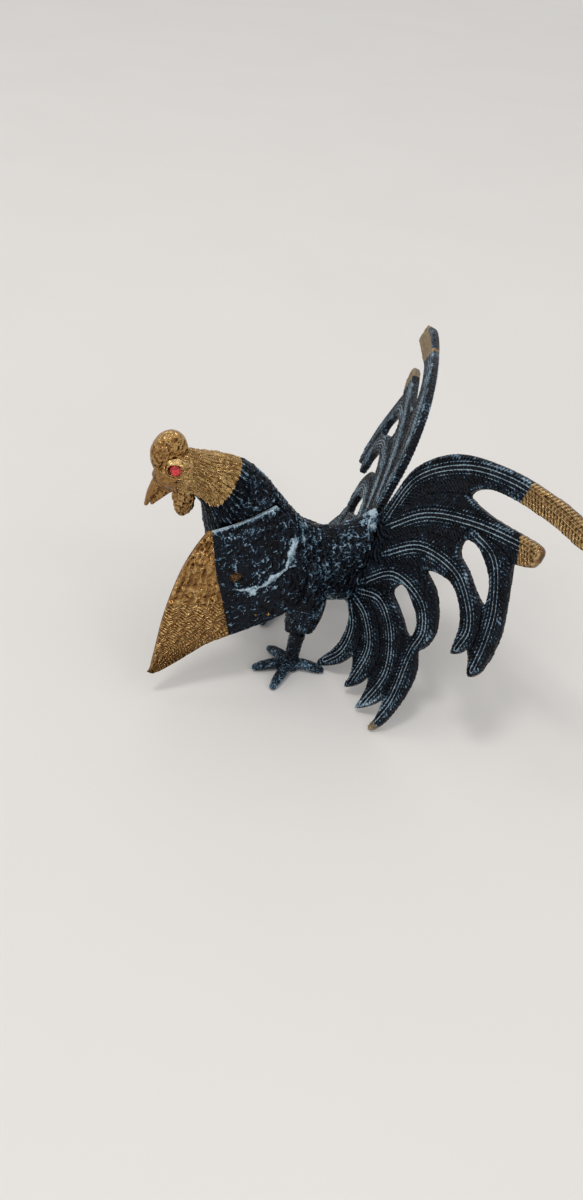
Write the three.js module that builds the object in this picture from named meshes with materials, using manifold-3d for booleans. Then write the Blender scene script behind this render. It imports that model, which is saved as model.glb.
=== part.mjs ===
// Free-standing fighting cockerel ornament in cast brass: hollow body in two halves, bolted wings,
// legs and openwork tail plates. Millimetres, +Z up, bird facing -Y, its left side towards +X,
// origin at the bottom centre of the bounding box. The stations below are drawn from the ground
// point midway between the feet.
import * as THREE from 'three';
import { mergeVertices } from 'three/addons/utils/BufferGeometryUtils.js';
import Module from 'manifold-3d';

const wasm = await Module();
wasm.setup();

// ---- overall sizes
const BODY_LENGTH = 106; // rump to beak tip
const BODY_HEIGHT = 121; // ground to top of comb
const BODY_WIDTH = 42; // across the breast, without the wings
const TAIL_REACH = 113; // longest tail feather, from the tail root
const FOOT_SPACING = 46; // left foot to right foot

// ---- wall, plate and fit sizes
const BODY_WALL = 2.6;
const REAR_WALL = 3;
const SEAM_GAP = 0.3;
const FIT_GAP = 0.3;
const WING_THICKNESS = 2.6;
const TAIL_THICKNESS = 3;
const RACHIS_DIAMETER = 2;

// ---- legs
const SHANK_DIAMETER = 7.6;
const TOE_DIAMETER = 5.4;
const LEG_STUD_DIAMETER = 4;
const FRONT_TOE_LENGTH = 19.5;
const INNER_TOE_LENGTH = 16.7;
const OUTER_TOE_LENGTH = 20.2;
const REAR_TOE_LENGTH = 16.8;

// ---- fixings
const WING_BOSS = 10.4;
const WING_SCREW_DIAMETER = 4;
const WING_SCREW_HEAD = 5.4;
const WING_NUT_FLATS = 7;
const TAIL_SCREW_DIAMETER = 3;
const TAIL_SCREW_HEAD = 5.5;
const TAIL_NUT_FLATS = 5.5;
const NUT_THICKNESS = 2.6;

// ---- eyes
const EYE_DIAMETER = 4.6;

// ---- scale of the drawn stations against the overall sizes
const KF = BODY_LENGTH / 106;
const KU = BODY_HEIGHT / 121;
const KW = BODY_WIDTH / 42;
const KT = TAIL_REACH / 113;

// Point from distances forward, to the bird's left and up.
function at(fwd, left, up) {
  return new THREE.Vector3(left * KW, -fwd * KF, up * KU);
}

function lerp(a, b, t) {
  return a + (b - a) * t;
}

// Catmull-Rom value of a list of number rows at a fractional index.
function rowAt(rows, x) {
  const last = rows.length - 1;
  const i = Math.min(Math.max(Math.floor(x), 0), last - 1);
  const t = x - i;
  const p0 = rows[Math.max(i - 1, 0)];
  const p1 = rows[i];
  const p2 = rows[i + 1];
  const p3 = rows[Math.min(i + 2, last)];
  return p1.map((v, k) => {
    const a = 2 * v;
    const b = p2[k] - p0[k];
    const c = 2 * p0[k] - 5 * v + 4 * p2[k] - p3[k];
    const d = 3 * v - p0[k] - 3 * p2[k] + p3[k];
    return 0.5 * (a + b * t + c * t * t + d * t * t * t);
  });
}

// Manifold solid from points and triangle indices, turned the right way out.
function solid(points, faces) {
  let volume = 0;
  for (const [a, b, c] of faces) {
    volume += points[a].dot(new THREE.Vector3().crossVectors(points[b], points[c]));
  }
  const out = volume < 0 ? faces.map(([a, b, c]) => [a, c, b]) : faces;
  const vertProperties = new Float32Array(points.flatMap((p) => [p.x, p.y, p.z]));
  const triVerts = new Uint32Array(out.flat());
  return new wasm.Manifold(new wasm.Mesh({ numProp: 3, vertProperties, triVerts }));
}

// Closed tube through rings that all have the same number of points.
function loft(rings) {
  const n = rings[0].length;
  const points = rings.flat();
  const faces = [];
  for (let i = 0; i < rings.length - 1; i += 1) {
    for (let j = 0; j < n; j += 1) {
      const a = i * n + j;
      const b = i * n + (j + 1) % n;
      faces.push([a, b, b + n], [a, b + n, a + n]);
    }
  }
  const ends = [0, rings.length - 1];
  for (const end of ends) {
    const centre = new THREE.Vector3();
    rings[end].forEach((p) => centre.add(p));
    points.push(centre.divideScalar(n));
    const c = points.length - 1;
    for (let j = 0; j < n; j += 1) {
      const a = end * n + j;
      const b = end * n + (j + 1) % n;
      faces.push(end === 0 ? [c, b, a] : [c, a, b]);
    }
  }
  return solid(points, faces);
}

// Round bar along a list of points with a radius at each, ends rounded off.
function bar(path, radii, sides) {
  const spine = path.map((p) => p.clone());
  const size = [...radii];
  const first = spine[0].clone().sub(spine[1]).normalize();
  const last = spine.at(-1).clone().sub(spine.at(-2)).normalize();
  spine.unshift(spine[0].clone().addScaledVector(first, size[0] * 0.7));
  size.unshift(size[0] * 0.55);
  spine.push(spine.at(-1).clone().addScaledVector(last, size.at(-1) * 0.7));
  size.push(size.at(-1) * 0.55);
  let side = new THREE.Vector3(0.31, 0.17, 0.93);
  const rings = spine.map((p, i) => {
    const before = spine[Math.max(i - 1, 0)];
    const after = spine[Math.min(i + 1, spine.length - 1)];
    const along = after.clone().sub(before).normalize();
    side = side.clone().addScaledVector(along, -side.dot(along)).normalize();
    const other = new THREE.Vector3().crossVectors(along, side);
    return Array.from({ length: sides }, (_, k) => {
      const angle = (k / sides) * 2 * Math.PI;
      const q = p.clone().addScaledVector(side, size[i] * Math.cos(angle));
      return q.addScaledVector(other, size[i] * Math.sin(angle));
    });
  });
  return loft(rings);
}

// Manifold solid of a closed geometry moved by a matrix.
function solidOf(geometry, matrix) {
  const bare = new THREE.BufferGeometry();
  bare.setAttribute('position', geometry.getAttribute('position').clone());
  bare.setIndex(geometry.getIndex());
  const joined = mergeVertices(bare, 1e-5).applyMatrix4(matrix);
  const { points, faces } = pointsAndFaces(joined);
  return solid(points, faces.filter(([a, b, c]) => a !== b && b !== c && c !== a));
}

function pointsAndFaces(geometry) {
  const p = geometry.getAttribute('position');
  const index = geometry.getIndex().array;
  const points = Array.from({ length: p.count }, (_, i) => new THREE.Vector3().fromBufferAttribute(p, i));
  const faces = Array.from({ length: index.length / 3 }, (_, i) => (
    [index[3 * i], index[3 * i + 1], index[3 * i + 2]]
  ));
  return { points, faces };
}

const UP = new THREE.Vector3(0, 0, 1);

// Straight prism or cylinder from a base point along a direction.
function rod(base, along, radius, length, sides = 20) {
  const d = along.clone().normalize();
  const turn = new THREE.Quaternion().setFromUnitVectors(new THREE.Vector3(0, 1, 0), d);
  const middle = base.clone().addScaledVector(d, length / 2);
  const placing = new THREE.Matrix4().compose(middle, turn, new THREE.Vector3(1, 1, 1));
  return solidOf(new THREE.CylinderGeometry(radius, radius, length, sides), placing);
}

// Rounded lump with its own three axes (vectors carry the half sizes).
function lump(centre, ax, ay, az, wide = 20, high = 12) {
  const placing = new THREE.Matrix4().makeBasis(ax, az, ay).setPosition(centre);
  return solidOf(new THREE.SphereGeometry(1, wide, high), placing);
}

// Block between two corners.
function block(x0, x1, y0, y1, z0, z1) {
  const placing = new THREE.Matrix4().makeTranslation((x0 + x1) / 2, (y0 + y1) / 2, (z0 + z1) / 2);
  return solidOf(new THREE.BoxGeometry(x1 - x0, y1 - y0, z1 - z0), placing);
}

// ---------------------------------------------------------------- body
// Stations from rump to face: back point and belly point in the mid-plane (forward, up), half
// width, and how much narrower the back is than the belly.
const STATIONS = [
  [-56, 86, -42, 20, 10, 0.5],
  [-42, 75, -31, 25, 12, 0.5],
  [-31, 69, -24, 28, 13.5, 0.45],
  [-20, 66, -16, 30, 15.5, 0.35],
  [-10, 68, -7, 31, 18, 0.25],
  [0, 78, 5, 31.5, 20, 0.3],
  [8, 89, 19, 36, 21, 0.35],
  [15, 98, 31, 47, 20, 0.35],
  [22, 104, 38, 61, 17.5, 0.3],
  [31, 107.5, 40.5, 74, 13.5, 0.15],
  [39, 109, 42, 85, 10.5, 0],
  [46, 110.5, 46, 91, 8.6, 0],
  [52, 111, 50.5, 92.5, 8, 0],
  [58, 109, 55.5, 93.5, 7, 0],
  [62, 104.5, 59.5, 94, 5, 0],
  [64, 100.5, 62, 95, 2.4, 0],
];

// Ring of the body skin at a fractional station, moved inwards by an inset.
function bodyRing(x, inset, count) {
  const [tf, tu, bf, bu, w, skew] = rowAt(STATIONS, x);
  const half = Math.hypot(tf - bf, tu - bu) / 2;
  const k = 1 - inset / half;
  const cf = (tf + bf) / 2;
  const cu = (tu + bu) / 2;
  return Array.from({ length: count }, (_, j) => {
    const angle = (j / count) * 2 * Math.PI;
    const c = Math.cos(angle);
    const s = Math.sin(angle);
    const wide = Math.max(w - inset / KW, 1) * s * (1 - skew * c) * (1 + 0.12 * c * c);
    return at(cf + ((tf - bf) / 2) * k * c, wide, cu + ((tu - bu) / 2) * k * c);
  });
}

function bodySkin() {
  const rings = [];
  for (let x = 0; x <= 15.001; x += 0.5) {
    rings.push(bodyRing(Math.min(x, 15), 0, 24));
  }
  return loft(rings);
}

function bodyHollow() {
  const rings = [];
  for (let x = 1; x <= 9.001; x += 1) {
    rings.push(bodyRing(x, BODY_WALL + Math.max(0, x - 5) * 0.35, 16));
  }
  return loft(rings);
}

// Thick comb with flattened sides, from the root of the beak over the crown.
function comb() {
  const rows = [[62.2, 101.5, 1.8], [64.2, 107.5, 3.6], [63.8, 113.4, 4], [60.2, 119, 4],
    [55, 121, 3.9], [50.4, 118.4, 3.6], [48.4, 112.8, 3.2], [49.2, 107.5, 2.2]];
  const rings = [];
  for (let x = 0; x <= 7.001; x += 0.5) {
    const [f, u, w] = rowAt(rows, x);
    rings.push(Array.from({ length: 14 }, (_, j) => {
      const angle = (j / 14) * 2 * Math.PI;
      const t = 0.5 - 0.5 * Math.cos(angle);
      const side = Math.sign(Math.sin(angle)) * Math.abs(Math.sin(angle)) ** 0.7;
      return at(lerp(f, 55, t * 0.98), w * 1.08 * side, lerp(u, 107, t * 0.98));
    }));
  }
  return loft(rings);
}

// Open beak: upper and lower mandibles as short curved horns.
function beak() {
  const upper = bar(
    [at(58.4, 0, 99.8), at(61.6, 0, 95.8), at(64.6, 0, 90.8), at(67, 0, 85.4)],
    [3.9 * KW, 2.9 * KW, 1.9 * KW, 0.8],
    12,
  );
  const lower = bar(
    [at(55, 0, 96), at(58.8, 0, 92.2), at(61.9, 0, 88.7), at(64.4, 0, 85.7)],
    [3.5 * KW, 2.4 * KW, 1.5 * KW, 0.7],
    12,
  );
  return upper.add(lower);
}

// One of the pair of wattles under the beak.
function wattle() {
  return lump(
    at(50.2, 3.4, 88.4),
    at(4.5, 0, 0.8),
    at(0, 2, 0),
    at(1.2, -0.4, -8),
    12,
    8,
  );
}

const LEG_FOOT = new THREE.Vector3(FOOT_SPACING / 2, 0, 0);
const KNEE = new THREE.Vector3(FOOT_SPACING / 2 - 1, 2.4 * KF, 22 * KU);
const STUD_TOP = at(-6, 7.5, 46);

// Feathered thigh, from inside the belly to the hem above the shank.
function thigh() {
  const mid = at(-6, 17.5, 34);
  return bar([at(-5, 12, 48), mid, KNEE], [11.5 * KW, 9.5 * KW, 6.2], 16);
}

// ---------------------------------------------------------------- wings
// The left wing is dropped, the right one is closed on the flank. Rows run from shoulder to tip:
// first edge point, second edge point (forward, outwards, up) and outward bulge between them.
const LEFT_WING = {
  rows: [
    [42, 19, 81, 9, 8.5, 86.5, 2.5],
    [47.5, 20, 74.5, -1, 11.5, 75.5, 5],
    [54, 22, 64, -3, 20, 65, 4.5],
    [60, 25, 50, -3, 24, 51, 3.5],
    [64, 27.5, 38, 3, 26.5, 40, 2.5],
    [66.7, 30, 28, 20, 28.5, 33.5, 1.5],
    [68.7, 31.5, 20.5, 41, 30, 27.5, 0.8],
    [70, 32.6, 15.5, 60, 32.2, 16.5, 0.2],
    [71, 33, 14, 68, 33, 12.8, 0],
  ],
  screw: [30, 60.5],
  headSeat: 24.4,
  padFace: 17,
  nutSeat: 12.6,
};
const RIGHT_WING = {
  rows: [
    [36, 15, 61, 37, 14.5, 75, 2],
    [30, 20, 55, 31, 15.5, 82, 4],
    [18, 23.5, 51, 17, 14.5, 83.5, 4.5],
    [6, 23.5, 48.5, 4, 14, 73, 4],
    [-6, 22, 47.5, -8, 15.5, 64, 2.5],
    [-17, 19.5, 48, -18, 16.5, 58.5, 1.2],
    [-26, 17.5, 49.5, -27, 16.8, 53.5, 0.4],
  ],
  screw: [15, 63],
  headSeat: 22.8,
  padFace: 17,
  nutSeat: 12.6,
};
const WING_ACROSS = 9;
const WING_DOWN = 13;

// Point on the outer wing face; s runs from first to second edge, t from shoulder to tip.
function wingPoint(set, s, t) {
  const [f0, l0, u0, f1, l1, u1, bulge] = rowAt(set.rows, t * (set.rows.length - 1));
  const arch = 4 * s * (1 - s) * bulge;
  return at(lerp(f0, f1, s), lerp(l0, l1, s) + arch, lerp(u0, u1, s) + arch * 0.15);
}

function wingNormal(set, s, t) {
  const e = 0.01;
  const ds = wingPoint(set, s + e, t).sub(wingPoint(set, s - e, t));
  const t0 = Math.max(t - e, 0);
  const t1 = Math.min(t + e, 1);
  const dt = wingPoint(set, s, t1).sub(wingPoint(set, s, t0));
  return dt.cross(ds).normalize();
}

// Closed sheet between an outer and an inner face function over the wing outline.
function wingSheet(outer, inner) {
  const points = [];
  const faces = [];
  for (const face of [outer, inner]) {
    for (let j = 0; j <= WING_DOWN; j += 1) {
      for (let i = 0; i <= WING_ACROSS; i += 1) {
        points.push(face(i / WING_ACROSS, j / WING_DOWN));
      }
    }
  }
  const w = WING_ACROSS + 1;
  const m = w * (WING_DOWN + 1);
  for (let j = 0; j < WING_DOWN; j += 1) {
    for (let i = 0; i < WING_ACROSS; i += 1) {
      const a = j * w + i;
      faces.push([a, a + 1, a + w + 1], [a, a + w + 1, a + w]);
      faces.push([a + m, a + m + w + 1, a + m + 1], [a + m, a + m + w, a + m + w + 1]);
    }
  }
  const rim = [];
  for (let i = 0; i < WING_ACROSS; i += 1) rim.push(i);
  for (let j = 0; j < WING_DOWN; j += 1) rim.push(j * w + WING_ACROSS);
  for (let i = WING_ACROSS; i > 0; i -= 1) rim.push(WING_DOWN * w + i);
  for (let j = WING_DOWN; j > 0; j -= 1) rim.push(j * w);
  rim.forEach((a, k) => {
    const b = rim[(k + 1) % rim.length];
    faces.push([a, a + m, b + m], [a, b + m, b]);
  });
  return solid(points, faces);
}

const ACROSS = new THREE.Vector3(1, 0, 0);

// Point on the axis of a wing screw, at a distance outwards.
function onScrew(set, out) {
  return at(set.screw[0], out, set.screw[1]);
}

// Room the wing takes out of the body, with the fit gap all round.
function wingClearance(set) {
  const grow = (s, t) => {
    const q = wingPoint(set, lerp(-0.014, 1.014, s), t);
    const off = wingPoint(set, s, 0).sub(wingPoint(set, s, 0.06)).normalize();
    return q.addScaledVector(off, t < 0.001 ? FIT_GAP + 0.2 : 0);
  };
  const shifted = (depth) => (s, t) => grow(s, t).addScaledVector(wingNormal(set, s, t), depth);
  const outwards = (s, t) => grow(s, t).add(new THREE.Vector3(26, 0, 8));
  const bed = wingSheet(shifted(0.6), shifted(-(WING_THICKNESS + FIT_GAP + 0.25)));
  const bossRoom = rod(onScrew(set, set.padFace), ACROSS, WING_BOSS / 2 + FIT_GAP, 20, 16);
  return bed.add(wingSheet(outwards, grow)).add(bossRoom);
}

function wing(set) {
  const outer = (s, t) => wingPoint(set, s, t);
  const inner = (s, t) => wingPoint(set, s, t).addScaledVector(
    wingNormal(set, s, t),
    -WING_THICKNESS * (1 - 0.45 * t ** 6),
  );
  const bossLength = (set.headSeat - set.padFace) * KW - FIT_GAP - 0.4;
  const bossFoot = onScrew(set, set.padFace).addScaledVector(ACROSS, FIT_GAP);
  const boss = rod(bossFoot, ACROSS, WING_BOSS / 2, bossLength);
  const hole = rod(onScrew(set, 0), ACROSS, WING_SCREW_DIAMETER / 2 + FIT_GAP, 60, 16);
  const seat = rod(onScrew(set, set.headSeat), ACROSS, WING_SCREW_HEAD / 2 + FIT_GAP, 20, 16);
  return wingSheet(outer, inner).add(boss).subtract(hole).subtract(seat);
}

// ---------------------------------------------------------------- tail
// Frame of the left tail plate: flat face towards the front, leaning back.
const TAIL_BEND = -40;
const TAIL_AZIMUTH = THREE.MathUtils.degToRad(72.2);
const TAIL_LEAN = THREE.MathUtils.degToRad(20.5);
const TAIL_ROOT = at(-40, 4, 66);
const TAIL_ACROSS = new THREE.Vector3(Math.sin(TAIL_AZIMUTH), Math.cos(TAIL_AZIMUTH), 0);
const TAIL_NORMAL = new THREE.Vector3(
  Math.cos(TAIL_AZIMUTH) * Math.cos(TAIL_LEAN),
  -Math.sin(TAIL_AZIMUTH) * Math.cos(TAIL_LEAN),
  Math.sin(TAIL_LEAN),
);
const TAIL_RISE = new THREE.Vector3().crossVectors(TAIL_ACROSS, TAIL_NORMAL).negate();

// Point of the plate from distances outwards, upwards and off the front face.
function tailPoint(u, v, depth) {
  const q = TAIL_ROOT.clone();
  q.addScaledVector(TAIL_ACROSS, u * KT);
  q.addScaledVector(TAIL_RISE, v * KT);
  return q.addScaledVector(TAIL_NORMAL, depth);
}

// Outline of the plate: [u, v] points, each stretch a smooth curve, sharp where stretches meet.
const TAIL_EDGES = [
  [[-2.5, 5], [1, 17], [7, 38], [26, 55], [55, 63], [82, 65], [98, 64], [113, 59.5]],
  [[113, 59.5], [104, 54.5], [92, 55], [79, 55], [65, 54], [52, 51.5], [44, 47], [42, 43]],
  [[42, 43], [53, 42], [66, 43], [77, 44.5], [86, 45.3], [89.2, 42.8], [88.4, 37], [85, 34.5], [78.5, 32]],
  [[78.5, 32], [85, 18], [90, 6], [91.5, -4], [91, -14], [88.5, -19], [86, -19], [83, -14], [79.5, -10]],
  [[79.5, -10], [77, -15], [73.5, -17.5], [72, -12], [70, -4], [64, 3], [56, 7], [46, 6], [39, 3]],
  [[39, 3], [49, -1], [56, -8], [60, -16], [59.5, -24], [56, -30]],
  [[56, -30], [60.5, -37], [62, -46], [61, -58], [58.5, -70], [54.5, -78], [52, -77.5], [53.5, -70],
    [52, -60]],
  [[52, -60], [48, -68], [40, -77], [40.5, -69], [40, -63], [38, -58]],
  [[38, -58], [34, -67], [28, -73.5], [27.5, -66], [26, -61], [23, -57]],
  [[23, -57], [17, -68], [7, -77], [5, -74.5], [10, -64], [12, -54], [10, -44], [5, -38.5]],
  [[5, -38.5], [-1, -38.5], [-5.5, -37]],
  [[-5.5, -37], [-4.5, -20], [-3.5, -5], [-2.5, 5]],
];
const TAIL_HOLES = [
  [[51, 26.5], [51.5, 20], [60, 16.5], [69, 11.5], [76, 9.5], [76, 14], [73, 19.5], [67, 24.5], [59, 28]],
  [[28.5, -12], [27, -17], [33, -20], [40, -23.5], [46, -27], [50, -25.5], [48.5, -18], [40, -12.5],
    [33, -10]],
];
// Feather ribs: root, middle points, tip.
const TAIL_RIBS = [
  [[4, 8], [11, 34], [33, 52], [59, 60], [84, 61], [108, 58.5]],
  [[7, 6], [26, 24], [52, 35], [78, 41], [86, 41.5]],
  [[53, 32], [70, 29], [81.5, 14], [86.3, -1], [88, -16]],
  [[13, -5], [31, 10], [54, 13], [68, 6.5], [76, -3], [75.5, -14]],
  [[8, -24], [24, -9], [45, -9], [55, -19], [54.5, -33], [57, -56], [54, -74]],
  [[8, -29], [24, -24], [39, -33], [47, -50], [43, -72]],
  [[7, -33], [20, -36], [31, -48], [30, -70]],
  [[5, -36], [15, -46], [16, -60], [9, -72]],
];

function smooth(points, closed, perSpan) {
  const curve = new THREE.CatmullRomCurve3(
    points.map(([u, v]) => new THREE.Vector3(u, v, 0)),
    closed,
    'catmullrom',
    0.5,
  );
  return curve.getPoints((closed ? points.length : points.length - 1) * perSpan);
}

// Flat openwork plate in its own frame, u outwards, v upwards, depth off the front face.
function tailFlat() {
  const outline = TAIL_EDGES.flatMap((edge) => {
    const run = smooth(edge, false, edge.length > 3 ? 2 : 1);
    return run.slice(0, -1);
  });
  const flat = (p) => new THREE.Vector2(p.x, p.y);
  const shape = new THREE.Shape(outline.map(flat));
  shape.holes = TAIL_HOLES.map((hole) => new THREE.Path(smooth(hole, true, 2).slice(0, -1).map(flat)));
  const plate = new THREE.ExtrudeGeometry(shape, { depth: TAIL_THICKNESS, bevelEnabled: false });
  return solidOf(plate, new THREE.Matrix4().makeTranslation(0, 0, -TAIL_THICKNESS));
}

// Low raised ribs along the feathers, in the frame of the plate.
function tailRibs() {
  const ribs = TAIL_RIBS.map((rib) => {
    const run = smooth(rib, false, 2);
    const radii = run.map((_, i) => (RACHIS_DIAMETER / 2) * lerp(1.1, 0.6, i / (run.length - 1)));
    return bar(run.map((p) => new THREE.Vector3(p.x, p.y, -0.25)), radii, 4);
  });
  return ribs.reduce((sum, rib) => sum.add(rib));
}

// The same solid with every corner moved by a function.
function mapped(body, move) {
  const { points, faces } = pointsAndFaces(geometryOf(body));
  return solid(points.map((p) => move(p.x, p.y, p.z)), faces);
}

// Below the bend the low feathers are swept forward.
function bend(u, v, depth) {
  const sweep = (7.8 * (TAIL_BEND - v)) / 38;
  return new THREE.Vector3(u + sweep * 0.8, v + sweep * 0.8, depth + sweep);
}

const TAIL_SCREW_UV = [-0.5, -19];

function tailFixing(depth) {
  return tailPoint(TAIL_SCREW_UV[0], TAIL_SCREW_UV[1], depth);
}

function tailPlate() {
  const hole = rod(tailFixing(-20), TAIL_NORMAL, TAIL_SCREW_DIAMETER / 2 + FIT_GAP, 40);
  const midPlane = block(-80, SEAM_GAP / 2, -60, 260, -20, 260);
  const floor = block(-20, 260, -60, 260, -40, 0);
  const flat = tailFlat().add(tailRibs());
  const low = block(-200, 200, -200, TAIL_BEND, -20, 20);
  const bent = flat.subtract(low).add(mapped(flat.intersect(low), bend));
  return mapped(bent, tailPoint).subtract(rumpRoom()).subtract(hole).subtract(midPlane).subtract(floor);
}

// Space kept for the rump in front of the plate.
function rumpRoom() {
  const rings = [];
  for (let x = 0; x <= 3.001; x += 0.5) {
    rings.push(bodyRing(x, -FIT_GAP * 2, 28));
  }
  return loft(rings).subtract(behindTail(0));
}

// Half-space block behind the front face of the tail plate, shifted forward by a distance.
function behindTail(shift) {
  const corners = [[-120, -120], [140, -120], [140, 120], [-120, 120]];
  const ring = (depth) => corners.map(([u, v]) => {
    const q = TAIL_ROOT.clone().addScaledVector(TAIL_ACROSS, u);
    return q.addScaledVector(TAIL_RISE, v).addScaledVector(TAIL_NORMAL, depth);
  });
  return loft([ring(-120), ring(shift)]);
}

// ---------------------------------------------------------------- body halves
const STUD_AXIS = STUD_TOP.clone().sub(KNEE).normalize();
const LEG_NUT_AT = KNEE.clone().lerp(STUD_TOP, 0.66);
const EYE_AT = at(54.6, 7.2, 105.8);
const EYE_AXIS = new THREE.Vector3(0.94, -0.2, 0.22).normalize();
const TAIL_NUT_DEPTH = FIT_GAP + REAR_WALL;

function hexRadius(flats) {
  return flats / Math.sqrt(3);
}

function bodyHalf(set) {
  const room = wingClearance(set);
  const pad = rod(onScrew(set, 4), ACROSS, WING_BOSS / 2 + 0.4, (set.padFace - 4) * KW).subtract(room);
  const innerLength = (set.padFace - set.nutSeat) * KW;
  const inner = rod(onScrew(set, set.nutSeat), ACROSS, WING_BOSS / 2 + 0.4, innerLength);
  const nutRoom = hexRadius(WING_NUT_FLATS) + 0.8;
  const tailRoom = hexRadius(TAIL_NUT_FLATS) + 0.5;
  const cuts = [
    rod(onScrew(set, 0), ACROSS, WING_SCREW_DIAMETER / 2 + FIT_GAP, 60, 16),
    rod(onScrew(set, 0), ACROSS, nutRoom, set.nutSeat * KW, 16),
    rod(KNEE, STUD_AXIS, LEG_STUD_DIAMETER / 2 + FIT_GAP, 60, 16),
    rod(KNEE, STUD_AXIS.clone().negate(), 12, 12, 16),
    rod(LEG_NUT_AT, STUD_AXIS, nutRoom, 9, 16),
    rod(tailFixing(-5), TAIL_NORMAL, TAIL_SCREW_DIAMETER / 2 + FIT_GAP, 20, 16),
    rod(tailFixing(TAIL_NUT_DEPTH), TAIL_NORMAL, tailRoom, 6, 16),
    rod(EYE_AT.clone().addScaledVector(EYE_AXIS, -1.6), EYE_AXIS, EYE_DIAMETER / 2 + FIT_GAP, 9, 20),
    behindTail(FIT_GAP),
    block(-120, SEAM_GAP / 2, -200, 200, -50, 260),
  ];
  const hollow = bodyHollow().subtract(behindTail(FIT_GAP + REAR_WALL));
  const skin = bodySkin().add(thigh()).subtract(room).add(pad);
  const shell = skin.subtract(hollow).add(inner.subtract(room)).add(comb()).add(beak()).add(wattle());
  return cuts.reduce((sum, cut) => sum.subtract(cut), shell);
}

// ---------------------------------------------------------------- legs
// Toes spread from the foot: heading off straight ahead (degrees towards the outside), length.
const TOES = [
  [0, FRONT_TOE_LENGTH],
  [-58, INNER_TOE_LENGTH],
  [51, OUTER_TOE_LENGTH],
  [156, REAR_TOE_LENGTH],
];

function leg() {
  const r = SHANK_DIAMETER / 2;
  const shankTop = KNEE.clone().addScaledVector(STUD_AXIS, -FIT_GAP);
  const ankle = LEG_FOOT.clone().add(new THREE.Vector3(0, 0, 4));
  const collarFoot = shankTop.clone().addScaledVector(STUD_AXIS, -4.4);
  const shank = bar([collarFoot, ankle], [r * 0.98, r * 0.92], 12);
  const collar = rod(collarFoot, STUD_AXIS, r * 1.05, 4.4, 14);
  const studLength = LEG_NUT_AT.distanceTo(shankTop) + NUT_THICKNESS + 3;
  const studBase = shankTop.clone().addScaledVector(STUD_AXIS, -1);
  const stud = rod(studBase, STUD_AXIS, LEG_STUD_DIAMETER / 2, studLength, 12);
  const pad = lump(
    LEG_FOOT.clone().add(new THREE.Vector3(0, 0, 2.6)),
    new THREE.Vector3(5, 0, 0),
    new THREE.Vector3(0, 5, 0),
    new THREE.Vector3(0, 0, 4.4),
    12,
    6,
  );
  let body = shank.add(collar).add(stud).add(pad);
  for (const [angle, length] of TOES) {
    const a = THREE.MathUtils.degToRad(angle);
    const dir = new THREE.Vector3(Math.sin(a), -Math.cos(a), 0);
    const toe = TOE_DIAMETER / 2;
    const points = [0, 0.45, 0.8, 1].map((t) => {
      const q = LEG_FOOT.clone().addScaledVector(dir, t * (length - toe * 0.6));
      return q.setZ(lerp(3, 1.7, t) + Math.sin(t * Math.PI) * 0.9);
    });
    body = body.add(bar(points, [toe * 1.05, toe, toe * 0.88, toe * 0.6], 8));
  }
  return body.subtract(block(-100, 200, -200, 200, -30, 0)).translate([-LEG_FOOT.x, 0, 0]);
}

// ---------------------------------------------------------------- fixings and eyes
// Each is made standing on its seat at the origin, with its axis upwards.
const ORIGIN = new THREE.Vector3();
const DOWN = new THREE.Vector3(0, 0, -1);

function nut(flats, hole) {
  const body = rod(ORIGIN, UP, hexRadius(flats), NUT_THICKNESS, 6);
  return body.subtract(rod(new THREE.Vector3(0, 0, -5), UP, hole / 2 + FIT_GAP, 20, 12));
}

// Screw with a stepped round head on the seat and its shank below.
function screw(diameter, head, reach) {
  const shank = rod(new THREE.Vector3(0, 0, 0.5), DOWN, diameter / 2, reach + 0.5, 12);
  const r = head / 2;
  return shank.add(rod(ORIGIN, UP, r, 0.9, 16)).add(rod(ORIGIN, UP, r * 0.72, 1.4, 16));
}

function wingScrew(set) {
  const reach = (set.headSeat - set.nutSeat) * KW + NUT_THICKNESS + FIT_GAP + 2;
  return screw(WING_SCREW_DIAMETER, WING_SCREW_HEAD, reach);
}

function tailScrew() {
  const reach = TAIL_THICKNESS + TAIL_NUT_DEPTH + NUT_THICKNESS + FIT_GAP + 1.2;
  return screw(TAIL_SCREW_DIAMETER, TAIL_SCREW_HEAD, reach);
}

// Domed glass eye with a flat back, sunk in its socket.
function eye() {
  const r = EYE_DIAMETER / 2;
  const profile = [[0, 0], [r, 0], [r, 1.7], [r * 0.82, 2.4], [r * 0.45, 2.8], [0, 2.9]];
  const turned = new THREE.LatheGeometry(profile.map(([x, y]) => new THREE.Vector2(x, y)), 16);
  return solidOf(turned, new THREE.Matrix4().makeRotationX(Math.PI / 2));
}

// ---------------------------------------------------------------- assembly
function geometryOf(body) {
  const { vertProperties, triVerts, numProp } = body.getMesh();
  const count = vertProperties.length / numProp;
  const positions = new Float32Array(count * 3);
  for (let i = 0; i < count; i += 1) {
    for (let k = 0; k < 3; k += 1) {
      positions[i * 3 + k] = vertProperties[i * numProp + k];
    }
  }
  const geometry = new THREE.BufferGeometry();
  geometry.setAttribute('position', new THREE.BufferAttribute(positions, 3));
  geometry.setIndex(new THREE.BufferAttribute(new Uint32Array(triVerts), 1));
  return mergeVertices(geometry, 1e-5);
}

// Mirror image across the mid-plane, faces kept pointing outwards.
function mirrored(geometry) {
  const copy = geometry.clone();
  copy.applyMatrix4(new THREE.Matrix4().makeScale(-1, 1, 1));
  const index = copy.getIndex();
  for (let i = 0; i < index.count; i += 3) {
    const b = index.getX(i + 1);
    index.setX(i + 1, index.getX(i + 2));
    index.setX(i + 2, b);
  }
  return copy;
}

const FINISHES = {
  patina: [0x141a24, 0.55, 0.75],
  brass: [0x8c6a32, 0.35, 0.9],
  glass: [0xb01018, 0.12, 0.0],
};

const bird = new THREE.Group();

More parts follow.
